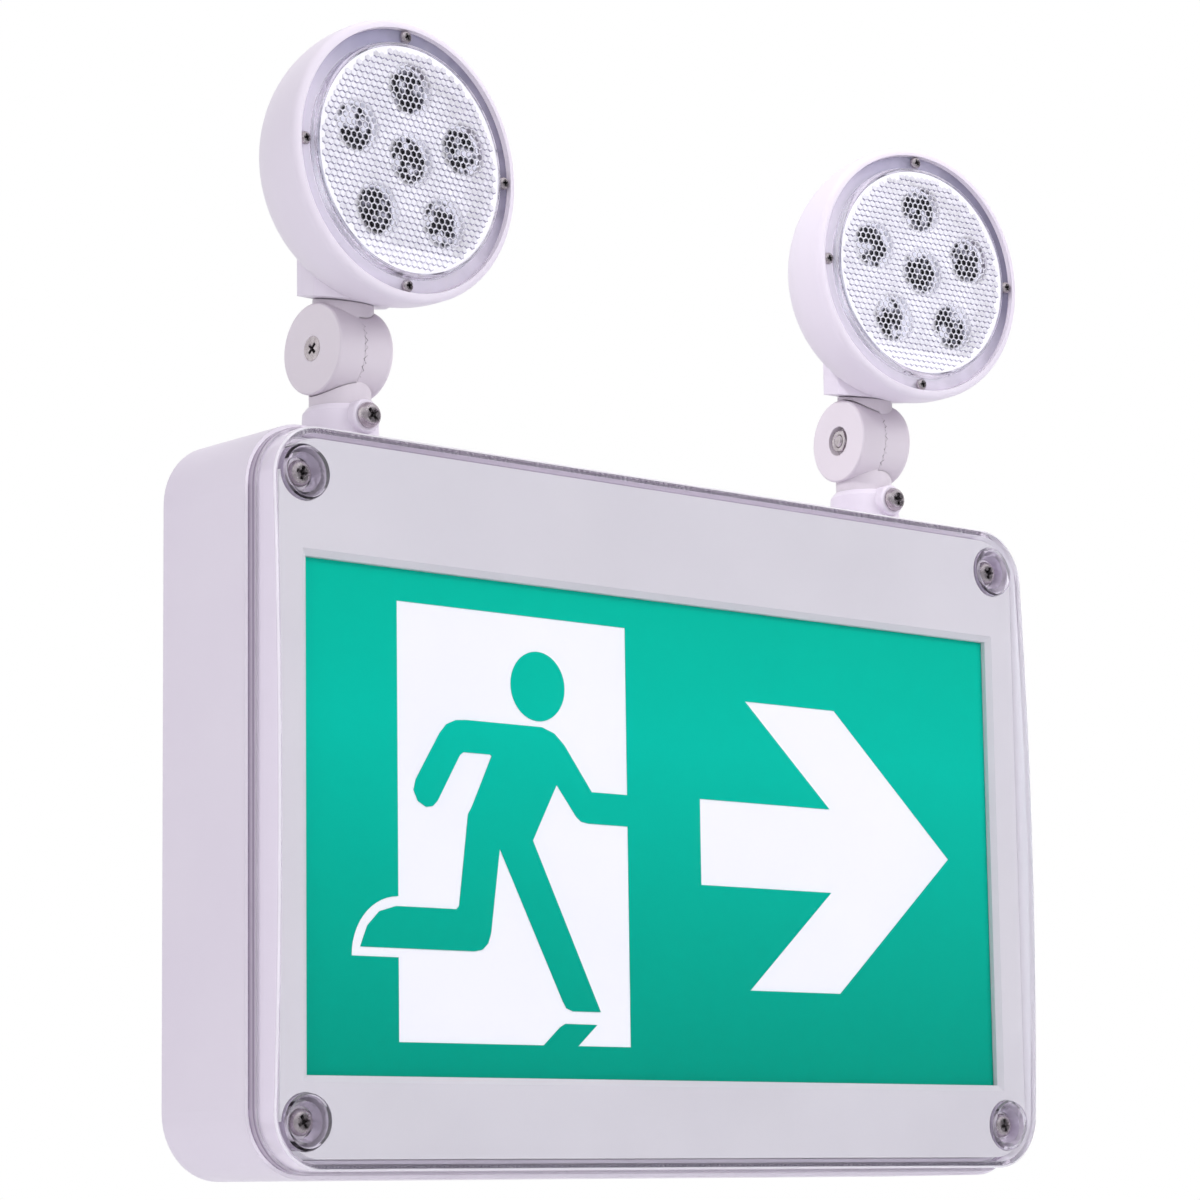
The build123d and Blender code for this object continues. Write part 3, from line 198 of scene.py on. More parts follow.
class Nodes:
    """Short ways to build a node tree. All but node, link and feed return the sockets of their result."""

    def __init__(self, tree):
        self.tree = tree

    def node(self, kind, **values):
        made = self.tree.nodes.new(kind)
        for key, value in values.items():
            setattr(made, key, value)
        return made

    def link(self, a, b):
        self.tree.links.new(a, b)

    def feed(self, socket, value):
        # A number or colour is set on the socket itself; a socket's result is linked to it.
        if isinstance(value, (int, float, tuple)):
            socket.default_value = value
        else:
            self.link(value, socket)

    def parts(self, vector):
        made = self.node("ShaderNodeSeparateXYZ")
        self.link(vector, made.inputs["Vector"])
        return made.outputs

    def ramp(self, factor, stops):
        made = self.node("ShaderNodeValToRGB")
        elements = made.color_ramp.elements
        while len(elements) < len(stops):
            elements.new(0.5)
        for element, (position, colour) in zip(elements, stops):
            element.position = position
            element.color = colour
        self.link(factor, made.inputs["Fac"])
        return made.outputs["Color"]

    def span(self, value, low, high, start=0.0, end=1.0):
        # Straight change from start to end while value goes from low to high.
        made = self.node("ShaderNodeMapRange")
        for name, number in (("From Min", low), ("From Max", high), ("To Min", start), ("To Max", end)):
            made.inputs[name].default_value = number
        self.link(value, made.inputs["Value"])
        return made.outputs["Result"]

    def span_mm(self, value, low, high, start=0.0, end=1.0):
        return self.span(value, low * MM, high * MM, start, end)

    def math(self, operation, a, b=None, c=None):
        made = self.node("ShaderNodeMath", operation=operation)
        for socket, value in zip(made.inputs, (a, b, c)):
            if value is not None:
                self.feed(socket, value)
        return made.outputs[0]

    def past(self, value, limit):
        # How far the value lies beyond a limit, in millimetres, on either side of the middle.
        return self.math("SUBTRACT", self.math("ABSOLUTE", value), limit * MM)

    def radius(self, a, b):
        return self.math("SQRT", self.math("ADD", self.math("MULTIPLY", a, a), self.math("MULTIPLY", b, b)))

    def blend(self, factor, a, b):
        made = self.node("ShaderNodeMix", data_type="RGBA")
        for socket, value in ((made.inputs[0], factor), (made.inputs[6], a), (made.inputs[7], b)):
            self.feed(socket, value)
        return made.outputs[2]

    def mix(self, factor, a, b):
        made = self.node("ShaderNodeMixShader")
        for socket, value in zip(made.inputs, (factor, a, b)):
            self.link(value, socket)
        return made.outputs["Shader"]


class Finish(Nodes):
    """A material and the nodes it is made of."""

    def __init__(self, name):
        self.material = bpy.data.materials.new(name)
        self.material.use_nodes = True
        super().__init__(self.material.node_tree)
        self.shader = self.tree.nodes["Principled BSDF"]
        self.output = self.tree.nodes["Material Output"]
        coordinates = self.node("ShaderNodeTexCoord")
        self.place = coordinates.outputs["Object"]
        self.normal = coordinates.outputs["Normal"]

    def put(self, values):
        for name, value in values.items():
            self.feed(self.shader.inputs[name], value)

    def in_lamp(self, side):
        # Object coordinates seen in the frame of one lamp unit, in metres.
        stem_x, pan = sides[side]
        mapping = self.node("ShaderNodeMapping", vector_type="TEXTURE")
        mapping.inputs["Location"].default_value = (stem_x * MM, STEM_Y * MM, 0)
        mapping.inputs["Rotation"].default_value = (0, 0, pan)
        self.link(self.place, mapping.inputs["Vector"])
        return mapping.outputs["Vector"]

    def noise(self, scale, detail=3.0):
        made = self.node("ShaderNodeTexNoise")
        made.inputs["Scale"].default_value = scale
        made.inputs["Detail"].default_value = detail
        self.link(self.place, made.inputs["Vector"])
        return made.outputs["Fac"]

    def bump(self, height, strength, distance, soft_edge=0.0):
        made = self.node("ShaderNodeBump")
        made.inputs["Strength"].default_value = strength
        made.inputs["Distance"].default_value = distance
        self.link(height, made.inputs["Height"])
        if soft_edge:
            edge = self.node("ShaderNodeBevel", samples=4)
            edge.inputs["Radius"].default_value = soft_edge
            self.link(edge.outputs["Normal"], made.inputs["Normal"])
        self.link(made.outputs["Normal"], self.shader.inputs["Normal"])

    def surface(self, shader):
        self.link(shader, self.output.inputs["Surface"])

    def let_light_through(self):
        # Shadow and diffuse rays pass the clear moulding as they do in the real one.
        path = self.node("ShaderNodeLightPath")
        clear = self.node("ShaderNodeBsdfTransparent")
        either = self.math("MAXIMUM", path.outputs["Is Shadow Ray"], path.outputs["Is Diffuse Ray"])
        shown = self.output.inputs["Surface"].links[0].from_socket
        self.surface(self.mix(either, shown, clear.outputs["BSDF"]))


def moulded_finish(name, colour, shade, roughness=0.42, grain=900.0, grain_depth=0.00004, soft_edge=0.0):
    made = Finish(name)
    fine = made.noise(grain, 2.0)
    made.put({
        "Base Color": made.ramp(made.noise(14.0, 2.0), [(0.3, shade), (0.7, colour)]),
        "Roughness": made.math("MULTIPLY_ADD", fine, 0.12, roughness - 0.06),
        "IOR": PLASTIC_IOR,
    })
    made.bump(fine, 0.25, grain_depth, soft_edge)
    return made


def arm_finish(side):
    # Housing plastic with the line of the toothed joint between the two knuckle discs, and painted shade on the
    # rim of each disc.
    light, shade = linear(224, 217, 222), linear(220, 212, 219)
    made = moulded_finish(f"{side} arm plastic", light, shade, roughness=0.44, soft_edge=SOFT_EDGE)
    across, depth, height = made.parts(made.in_lamp(side))
    rise = made.math("SUBTRACT", height, KNUCKLE_Z * MM)
    along = made.math("MULTIPLY", made.math("ARCTAN2", rise, depth), KNUCKLE_R)
    tooth = made.math("PINGPONG", made.math("ADD", along, TOOTH_START), TOOTH_PITCH / 2)
    line_x = made.math("MULTIPLY_ADD", tooth, TOOTH_REACH * MM / (TOOTH_PITCH / 2), TOOTH_LINE_X * MM)
    off_line = made.math("ABSOLUTE", made.math("SUBTRACT", across, line_x))
    on_line = made.span_mm(off_line, *TOOTH_LINE_HALF, 1.0, 0.0)
    on_rim = made.span_mm(made.radius(depth, rise), *DISC_RIM)
    broken = made.span(made.noise(900.0, 1.0), 0.36, 0.62)
    in_front = made.span_mm(depth, *TOOTH_LINE_FRONT, 1.0, 0.0)
    in_front = made.math("MULTIPLY", in_front, made.span_mm(rise, *TOOTH_LINE_TOP, 1.0, 0.0))
    in_front = made.math("MULTIPLY", in_front, made.span_mm(rise, *TOOTH_LINE_FOOT))
    mark = made.math("MULTIPLY", on_line, on_rim)
    mark = made.math("MULTIPLY", mark, made.math("MULTIPLY", broken, in_front))
    plain = made.shader.inputs["Base Color"].links[0].from_socket
    # Painted shade: the rim of each disc is coloured darker, standing for the shade of the lamp head above.
    rim = made.blend(made.math("MULTIPLY", on_rim, 0.8), plain, linear(208, 200, 208))
    made.put({"Base Color": made.blend(made.math("MULTIPLY", mark, 0.85), rim, linear(86, 74, 80))})
    return made


def floor_finish():
    # Pale floor that keeps the shadow near the sign and is white to the eye further off.
    made = moulded_finish("pale floor", linear(246, 246, 248), linear(243, 243, 246), roughness=0.7, grain=60.0)
    across, depth, _ = made.parts(made.place)
    far = made.span(made.radius(across, depth), *FLOOR_FADE)
    path = made.node("ShaderNodeLightPath")
    white = made.node("ShaderNodeEmission")
    seen_far = made.math("MULTIPLY", far, path.outputs["Is Camera Ray"])
    made.surface(made.mix(seen_far, made.shader.outputs["BSDF"], white.outputs["Emission"]))
    return made


def set_finish(names, finish):
    for name in names:
        mesh = nodes[name].data
        mesh.materials.clear()
        mesh.materials.append(finish.material)


def clear_cover_finish():
    # Clear moulding. Its side walls, its wells, the round edge of its face and the thick band at its rim are
    # partly milky and carry painted
    # light and shade: dark and pale lines on the band, lilac in the wells, a highlight on the face's edge,
    # lilac walls turning white at the right end.
    made = Finish("clear cover")
    across, depth, height = made.parts(made.place)
    band = made.span_mm(depth, *COVER_BAND)
    past_side = made.math("MAXIMUM", made.past(across, COVER_HALF_W - COVER_CORNER_R), 0.0)
    past_end = made.math("MAXIMUM", made.past(height, COVER_HALF_H - COVER_CORNER_R), 0.0)
    reach = made.radius(past_side, past_end)
    facing = made.math("ABSOLUTE", made.parts(made.normal)["Y"])
    sideways = made.span(facing, 0.3, 0.7, 1.0, 0.0)
    wall = made.math("MULTIPLY", made.span_mm(reach, *COVER_WALL), sideways)
    from_well = made.radius(made.past(across, WELL_X), made.past(height, WELL_Z))
    well = made.math("MULTIPLY", made.span_mm(from_well, *WELL_WALL, 1.0, 0.0), sideways)
    # Painted highlight: the round edge of the face is milky and near white.
    rounded = made.math("MULTIPLY", made.span(facing, 0.35, 0.5), made.span(facing, 0.93, 0.98, 1.0, 0.0))
    painted_edge_highlight = made.math("MULTIPLY", rounded, made.span_mm(reach, *COVER_FACE_EDGE))
    milky = made.math("MULTIPLY", wall, 0.55)
    for part, share in ((band, 0.6), (well, 0.4), (painted_edge_highlight, 0.55)):
        milky = made.math("MAXIMUM", milky, made.math("MULTIPLY", part, share))

    # Painted light and shade: dark and pale lines across the thick band stand for its refraction.
    dark_line, pale_line = linear(150, 136, 158), linear(206, 194, 211)
    band_painted_lines = made.ramp(made.span_mm(depth, -FLANGE_DEPTH, -RIM_DEPTH), [
        (0.0, pale_line),
        (0.10, pale_line),
        (0.16, dark_line),
        (0.30, dark_line),
        (0.42, pale_line),
        (0.72, linear(192, 178, 198)),
        (0.9, dark_line),
    ])
    clear = made.ramp(made.noise(30.0), [(0.0, linear(248, 247, 251)), (1.0, linear(252, 251, 253))])
    # Painted shade on the side walls: lilac, turning white at the right end.
    wall_painted_shade = made.blend(made.span(across, 0.10, 0.14), linear(238, 230, 242), linear(252, 250, 255))
    # Painted lilac shade on the walls of the wells.
    walls = made.blend(well, made.blend(wall, clear, wall_painted_shade), linear(206, 194, 216))
    made.put({
        "Base Color": made.blend(band, made.blend(painted_edge_highlight, walls, linear(252, 250, 254)), band_painted_lines),
        "Roughness": made.math("MULTIPLY_ADD", made.noise(60.0), 0.004, 0.003),
        "Transmission Weight": made.math("SUBTRACT", 1.0, milky),
        "IOR": PLASTIC_IOR,
    })
    made.let_light_through()
    return made


def steel_finish():
    # Bright steel with painted shade: dark in the depth of its recesses.
    made = Finish("bright stainless screw")
    hollow = made.node("ShaderNodeAmbientOcclusion", samples=6, only_local=True)
    hollow.inputs["Distance"].default_value = 0.0012
    bright = made.ramp(made.noise(500.0), [(0.3, linear(170, 161, 165)), (0.7, linear(205, 197, 201))])
    # Painted shade: where the occlusion is high, the colour turns dark.
    painted_recess_shade = made.span(hollow.outputs["AO"], 0.42, 0.77, 1.0, 0.0)
    made.put({
        "Metallic": 0.84,
        "Base Color": made.blend(painted_recess_shade, bright, linear(30, 27, 28)),
        "Roughness": made.math("MULTIPLY_ADD", made.noise(900.0), 0.12, 0.2),
    })
    made.bump(made.noise(1500.0), 0.15, 0.00003)
    return made


def print_finish():
    # Screen printed green: deeper towards the foot of the sheet, with a fine grain.
    made = Finish("printed legend green")
    height = made.parts(made.place)["Z"]
    level = made.span_mm(height, LEGEND_Z - LEGEND_H / 2, LEGEND_Z + LEGEND_H / 2)
    grain = made.math("MULTIPLY_ADD", made.noise(1500.0, 2.0), 0.16, -0.08)
    green = made.ramp(made.math("ADD", level, grain), [
        (0.0, linear(0, 155, 130)),
        (0.35, linear(0, 173, 148)),
        (0.7, linear(0, 190, 165)),
        (1.0, linear(0, 186, 158)),
    ])
    made.put({"Base Color": green, "Roughness": 0.7, "Specular IOR Level": 0.03})
    return made


def nearest_optic(made, place, flat):
    # Distance to the nearest lamp optic, along the lens only where flat is set.
    nearest = None
    if flat:
        level = made.node("ShaderNodeVectorMath", operation="MULTIPLY")
        made.link(place, level.inputs[0])
        level.inputs[1].default_value = (1, 0, 1)
        place = level.outputs["Vector"]
    for spot in optic_spots:
        reach = made.node("ShaderNodeVectorMath", operation="DISTANCE")
        made.link(place, reach.inputs[0])
        reach.inputs[1].default_value = Vector((spot[0], 0.0 if flat else spot[1], spot[2])) * MM
        value = reach.outputs["Value"]
        nearest = value if nearest is None else made.math("MINIMUM", nearest, value)
    return nearest


def lens_finish(side):
    # Clear patterned lens: frosted valleys between the cells, milky away from the optics, with painted shade on
    # the sides of the cells that face down or to the right, and a dull ring painted pale to the lower left and
    # blue-grey shade towards the upper right.
    made = Finish(f"{side} lamp lens")
    place = made.in_lamp(side)
    across, depth, height = made.parts(place)
    rise = made.math("SUBTRACT", height, HEAD_Z * MM)
    from_axis = made.radius(across, rise)
    ring = made.span_mm(from_axis, *LENS_RING)
    field = made.span_mm(from_axis, PATTERN_R, PATTERN_R + 0.2, 1.0, 0.0)
    front = RING_Y - LENS_RISE
    valley = made.span_mm(depth, front + 0.06, front + CELL_DEPTH)
    outside = made.span_mm(depth, front + 0.9, front + 1.0, 1.0, 0.0)
    away = made.span_mm(nearest_optic(made, place, True), *OPTIC_HALO)
    crest_frost = made.span(made.noise(420.0, 1.0), 0.35, 0.65, 0.62, 0.74)
    valley_frost = made.math("MULTIPLY", valley, 0.92)
    frosted = made.math("MAXIMUM", valley_frost, made.math("MULTIPLY", away, crest_frost))
    dull = made.math("MULTIPLY", made.math("MULTIPLY", frosted, field), outside)
    tone = made.ramp(made.noise(80.0), [(0.0, linear(238, 238, 248)), (1.0, linear(248, 248, 252))])
    # Painted shade on the ring: pale to the lower left, blue-grey towards the upper right and darkest to the
    # right.
    upper_right = made.math("ADD", made.math("MULTIPLY", across, 0.75), rise)
    upper_right = made.span_mm(upper_right, -12.0, 22.0)
    shaded = made.blend(made.span_mm(across, 0.0, 36.0), linear(172, 170, 192), linear(142, 138, 160))
    made.put({
        "Base Color": made.blend(ring, tone, made.blend(upper_right, linear(224, 219, 232), shaded)),
        "Roughness": made.math("MULTIPLY_ADD", ring, 0.25, 0.02),
        "Transmission Weight": made.math("MULTIPLY_ADD", ring, -0.45, 1.0),
        "IOR": PLASTIC_IOR,
    })
    # Painted shade: the frost is darker on the sides of the cells that face down or to the right.
    to_right, _, to_top = made.parts(made.normal)
    downhill = made.math("MAXIMUM", made.math("MULTIPLY", to_right, 0.8), made.math("MULTIPLY", to_top, -1.0))
    painted_flank_shade = made.math("MULTIPLY", made.span(downhill, 0.2, 0.6), away)
    frost = made.node("ShaderNodeBsdfDiffuse")
    made.link(made.blend(painted_flank_shade, linear(243, 242, 248), linear(158, 155, 177)), frost.inputs["Color"])
    made.surface(made.mix(dull, made.shader.outputs["BSDF"], frost.outputs["BSDF"]))
    made.let_light_through()
    return made


def optic_finish(side):
    # Dark cup of each lamp optic, flecked with painted glints, inside a pale rim.
    made = Finish(f"{side} lamp optic")
    rim = made.span_mm(nearest_optic(made, made.in_lamp(side), False), *OPTIC_RIM)
    # Painted glints: pale flecks in the dark cup.
    dark_cup_with_glints = made.ramp(made.noise(260.0, 1.0), [
        (0.50, linear(12, 12, 15)),
        (0.56, linear(120, 120, 130)),
        (0.62, linear(226, 226, 234)),
    ])
    made.put({"Base Color": made.blend(rim, dark_cup_with_glints, linear(232, 232, 240)), "Roughness": 0.22, "IOR": PLASTIC_IOR})
    return made


def mesh_from(bm, name):
    bmesh.ops.recalc_face_normals(bm, faces=bm.faces)
    mesh = bpy.data.meshes.new(name)
    bm.to_mesh(mesh)
    bm.free()
    return mesh


def new_object(name, data):
    made = bpy.data.objects.new(name, data)
    bpy.context.scene.collection.objects.link(made)
    return made


def new_piece(name, mesh, finish, body, stands_for):
    piece = new_object(name, mesh)
    mesh.materials.clear()
    mesh.materials.append(finish.material)
    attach(piece, body)
    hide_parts(stands_for)


def circle(bm, radius, y, count):
    turns = [2 * pi * i / count for i in range(count)]
    return [bm.verts.new((radius * cos(t), y, radius * sin(t))) for t in turns]


def skin(bm, near, far):
    # Faces between two rings of vertices; a ring of one vertex is a pole.
    count = max(len(near), len(far))
    for i in range(count):
        j = (i + 1) % count
        if len(near) == 1:
            bm.faces.new((near[0], far[j], far[i]))
        elif len(far) == 1:
            bm.faces.new((near[i], near[j], far[0]))
        else:
            bm.faces.new((near[i], near[j], far[j], far[i]))


def turned(bm, profile):
    # Closed shape turned about Y from a profile of (radius, y) points with both ends on the axis.
    rings = []
    for radius, y in profile:
        rings.append(circle(bm, radius, y, SCREW_STEPS) if radius else [bm.verts.new((0, y, 0))])
    for near, far in zip(rings, rings[1:]):
        skin(bm, near, far)


def arm_of_cross(bm, reach, top_y, depth, quarter):
    # One tapered bar of the cross recess, as a closed box that begins above the head.
    width = reach * CROSS_WIDTH
    turn = Matrix.Rotation(quarter * pi / 2, 4, "Y")
    corners = [(-reach, -width), (reach, -width), (reach, width), (-reach, width)]
    levels = []
    for share, narrow, y in ((1.0, 1.0, top_y - CROSS_RISE), (CROSS_FOOT, CROSS_TAPER, top_y + depth)):
        levels.append([bm.verts.new(turn @ Vector((x * share, y, z * narrow))) for x, z in corners])
    top, bottom = levels
    bm.faces.new(top)
    bm.faces.new(list(reversed(bottom)))
    for i in range(4):
        j = (i + 1) % 4
        bm.faces.new((top[i], bottom[i], bottom[j], top[j]))


def discard(*objects):
    for item in objects:
        mesh = item.data
        bpy.data.objects.remove(item)
        bpy.data.meshes.remove(mesh)


def settled(item):
    # The item's mesh with its modifiers applied.
    bpy.context.view_layer.update()
    graph = bpy.context.evaluated_depsgraph_get()
    return bpy.data.meshes.new_from_object(item.evaluated_get(graph), depsgraph=graph)


def cross_screw(name, profile, reach, depth):
    """Turned screw with a cross recess; the head's top is the last point of the profile."""
    body = bmesh.new()
    turned(body, profile)
    item = new_object(name, mesh_from(body, name))
    for quarter in (0, 1):
        bar = bmesh.new()
        arm_of_cross(bar, reach, profile[-1][1], depth, quarter)
        tool = new_object(name + " recess tool", mesh_from(bar, name + " recess tool"))
        cut = item.modifiers.new("recess", "BOOLEAN")
        cut.operation = "DIFFERENCE"
        cut.solver = "EXACT"
        cut.object = tool
        mesh = settled(item)
        item.modifiers.remove(cut)
        old = item.data
        item.data = mesh
        bpy.data.meshes.remove(old)
        discard(tool)
    return item


def pan_head(head_r, head_h, shank_r, length):
    # Profile from the tip of the shank to the middle of the domed head.
    return [
        (0, length),
        (shank_r * 0.55, length),
        (shank_r, length - shank_r * 0.6),
        (shank_r, 0),
        (head_r * 0.96, 0),
        (head_r, -head_h * 0.12),
        (head_r * 0.985, -head_h * 0.36),
        (head_r * 0.91, -head_h * 0.64),
        (head_r * 0.76, -head_h * 0.86),
        (head_r * 0.52, -head_h * 0.97),
        (0, -head_h),
    ]


def flush_head(head_r, shank_r, length):
    # Profile of a screw whose flat head ends level with its seat.
    return [
        (0, length),
        (shank_r * 0.75, length),
        (shank_r, length - 0.5),
        (shank_r, 2.1),
        (head_r, 0.12),
        (head_r - 0.15, 0),
        (0, 0),
    ]


def fastener_tree():
    # One copy of the fastener on every spot, each turned about its own axis.
    tree = bpy.data.node_groups.new("fasteners on spots", "GeometryNodeTree")
    face = tree.interface
    sockets = {
        "spots": face.new_socket("Spots", in_out="INPUT", socket_type="NodeSocketGeometry"),
        "fastener": face.new_socket("Fastener", in_out="INPUT", socket_type="NodeSocketObject"),
        "finish": face.new_socket("Finish", in_out="INPUT", socket_type="NodeSocketMaterial"),
        "seed": face.new_socket("Turn seed", in_out="INPUT", socket_type="NodeSocketInt"),
    }
    face.new_socket("Fasteners", in_out="OUTPUT", socket_type="NodeSocketGeometry")
    source = tree.nodes.new("NodeGroupInput")
    points = tree.nodes.new("GeometryNodeMeshToPoints")
    shape = tree.nodes.new("GeometryNodeObjectInfo")
    chance = tree.nodes.new("FunctionNodeRandomValue")
    axis = tree.nodes.new("ShaderNodeCombineXYZ")
    turn = tree.nodes.new("FunctionNodeEulerToRotation")
    copies = tree.nodes.new("GeometryNodeInstanceOnPoints")
    real = tree.nodes.new("GeometryNodeRealizeInstances")
    paint = tree.nodes.new("GeometryNodeSetMaterial")
    result = tree.nodes.new("NodeGroupOutput")
    chance.data_type = "FLOAT"
    chance.inputs[2].default_value = 0.0
    chance.inputs[3].default_value = pi / 2
    link = tree.links.new
    link(source.outputs["Spots"], points.inputs["Mesh"])
    link(source.outputs["Fastener"], shape.inputs["Object"])
    link(source.outputs["Turn seed"], chance.inputs["Seed"])
    link(chance.outputs[1], axis.inputs["Y"])
    link(axis.outputs["Vector"], turn.inputs["Euler"])
    link(points.outputs["Points"], copies.inputs["Points"])
    link(shape.outputs["Geometry"], copies.inputs["Instance"])
    link(turn.outputs["Rotation"], copies.inputs["Rotation"])
    link(copies.outputs["Instances"], real.inputs["Geometry"])
    link(real.outputs["Geometry"], paint.inputs["Geometry"])
    link(source.outputs["Finish"], paint.inputs["Material"])
    link(paint.outputs["Geometry"], result.inputs["Fasteners"])
    return tree, {name: socket.identifier for name, socket in sockets.items()}


def on_spots(name, fastener, spots, seed, place):
    # Mesh, in metres, of the fastener repeated on the spots.
    tree, keys = fastener_tree()
    holder = bpy.data.meshes.new(name)
    holder.from_pydata(spots, [], [])
    item = new_object(name, holder)
    repeat = item.modifiers.new("repeat", "NODES")
    repeat.node_group = tree
    repeat[keys["fastener"]] = fastener
    repeat[keys["finish"]] = steel.material
    repeat[keys["seed"]] = seed
    mesh = settled(item)
    item.modifiers.remove(repeat)
    discard(item)
    mesh.transform(Matrix.Scale(MM, 4) @ place)
    return mesh


def smooth_by_angle(mesh, degrees):
    # Facets stay crisp where they meet at more than this angle.
    bm = bmesh.new()
    bm.from_mesh(mesh)
    limit = radians(degrees)
    for face in bm.faces:
        face.smooth = True
    for edge in bm.edges:
        edge.smooth = len(edge.link_faces) == 2 and edge.calc_face_angle(0.0) < limit
    bm.to_mesh(mesh)
    bm.free()


def make_screws():
    still = Matrix.Identity(4)
    cover_head = pan_head(head_r=4.0, head_h=2.4, shank_r=2.0, length=18.0)
    clamp_head = pan_head(head_r=4.0, head_h=2.9, shank_r=2.0, length=4.9)
    lens_head = pan_head(head_r=2.0, head_h=1.5, shank_r=1.1, length=10.0)
    pivot_head = flush_head(head_r=3.85, shank_r=2.0, length=2 * KNUCKLE_HALF + 0.2)
    cover_screw = cross_screw("cover screw", cover_head, reach=2.5, depth=1.9)
    clamp_screw = cross_screw("clamp screw", clamp_head, reach=2.5, depth=2.1)
    lens_screw = cross_screw("lens screw", lens_head, reach=1.35, depth=1.1)
    pivot_screw = cross_screw("pivot screw", pivot_head, reach=2.3, depth=1.8)
    clamp_spots = [(-STEM_X, CLAMP_SEAT_Y, CLAMP_Z), (STEM_X, CLAMP_SEAT_Y, CLAMP_Z)]
    lens_spots = ring_spots(4, LENS_SCREW_PCR, 0.0, RING_Y)
    jobs = [
        ("cover_screw_set", cover_screw, wells, 4, still, "sign_body", "cover_screws"),
        ("clamp_screw_set", clamp_screw, clamp_spots, 9, still, "sign_body", "clamp_screws"),
    ]
    for side in sides:
        place, body = lamp_place(side), f"{side}_head"
        jobs.append((f"{side}_lens_screw_set", lens_screw, lens_spots, 3, place, body, f"{side}_lens_screws"))
    for side, sign in (("left", -1), ("right", 1)):
        # The pivot runs across the lamp: its head is outwards on the side away from the nut.
        head = lamp_place(side) @ Matrix.Translation((sign * KNUCKLE_HALF, 0, KNUCKLE_Z))
        place, body = head @ Matrix.Rotation(sign * pi / 2, 4, "Z"), f"{side}_head"
        jobs.append((f"{side}_pivot_bolt", pivot_screw, [(0, 0, 0)], 5, place, body, f"{side}_pivot_screw"))
    for name, fastener, spots, seed, place, body, node in jobs:
        mesh = on_spots(name, fastener, spots, seed, place)
        smooth_by_angle(mesh, SCREW_CREASE)
        new_piece(name, mesh, steel, body, node)
    discard(cover_screw, clamp_screw, lens_screw, pivot_screw)


def nut_mesh(side, sign, corner_turn):
    # Hexagon nut with chamfered corners and bore, its seat towards the middle of the knuckle.
    bm = bmesh.new()
    rings = []
    for y, limit in [(0.0, NUT_UNCUT_R)] + [(NUT_T - down, limit) for down, limit in NUT_CHAMFER]:
        ring = []
        for i in range(NUT_STEPS):
            turn = 2 * pi * i / NUT_STEPS
            from_corner = (turn - corner_turn) % (pi / 3) - pi / 6
            radius = min(NUT_FLATS / 2 / cos(from_corner), limit)
            ring.append(bm.verts.new((radius * cos(turn), y, radius * sin(turn))))
        rings.append(ring)
    rings += [circle(bm, radius, NUT_T - down, NUT_STEPS) for down, radius in NUT_BORE]
    rings.append(rings[0])
    for near, far in zip(rings, rings[1:]):
        skin(bm, near, far)
    outwards = Matrix.Rotation(-sign * pi / 2, 4, "Z")
    place = lamp_place(side) @ Matrix.Translation((sign * NUT_SEAT, 0, KNUCKLE_Z)) @ outwards
    mesh = mesh_from(bm, f"{side} pivot nut")
    mesh.transform(Matrix.Scale(MM, 4) @ place)
    smooth_by_angle(mesh, NUT_CREASE)
    return mesh


def make_nuts():
    for side, sign in (("left", 1), ("right", -1)):
        # The corners stay where the solid has them.
        node = nodes[f"{side}_pivot_nut"]
        home = (lamp_place(side) @ Matrix.Translation((0, 0, KNUCKLE_Z))).inverted()
        spots = [home @ (v.co / MM) for v in node.data.vertices]
        corner = max(spots, key=lambda p: p.y * p.y + p.z * p.z)
        local = Matrix.Rotation(sign * pi / 2, 4, "Z") @ Vector((0, corner.y, corner.z))
        turn = atan2(local.z, local.x)
        mesh = nut_mesh(side, sign, turn)
        new_piece(f"{side}_chamfered_nut", mesh, steel, f"{side}_stem", f"{side}_pivot_nut")


def lens_pattern(bm, low_y, high_y):
    """Six-sided cells in staggered rows and a level margin out to a round edge, whose vertices it returns."""
    corner_r = CELL_PITCH / sqrt(3)
    row_gap = CELL_PITCH * sqrt(3) / 2
    corners = {}

    def corner(x, z):
        # Cells that meet share a corner; places are told apart to a fiftieth of a millimetre.
        key = (round(x * 50), round(z * 50))
        if key not in corners:
            corners[key] = bm.verts.new((x, low_y, z))
        return corners[key]

    rows = int(PATTERN_R / row_gap) + 1
    columns = int(PATTERN_R / CELL_PITCH) + 1
    for row in range(-rows, rows + 1):
        for column in range(-columns, columns + 1):
            x = (column + 0.5 * (row % 2)) * CELL_PITCH
            z = row * row_gap
            if sqrt(x * x + z * z) + corner_r > PATTERN_R - PATTERN_MARGIN:
                continue
            turns = [radians(30 + 60 * i) for i in range(6)]
            outer = [corner(x + corner_r * cos(t), z + corner_r * sin(t)) for t in turns]
            inner_r = corner_r * CELL_TOP
            rim_y = high_y + CREST_RISE
            inner = [bm.verts.new((x + inner_r * cos(t), rim_y, z + inner_r * sin(t))) for t in turns]
            crest = bm.verts.new((x, high_y, z))
            for i in range(6):
                j = (i + 1) % 6
                bm.faces.new((outer[i], outer[j], inner[j], inner[i]))
                bm.faces.new((inner[i], inner[j], crest))
    margin = [e for e in bm.edges if e.is_boundary]
    ring = circle(bm, PATTERN_R, low_y, LENS_STEPS)
    ring_edges = [bm.edges.new((ring[i], ring[(i + 1) % LENS_STEPS])) for i in range(LENS_STEPS)]
    bmesh.ops.triangle_fill(bm, edges=margin + ring_edges, use_beauty=True)
    return ring


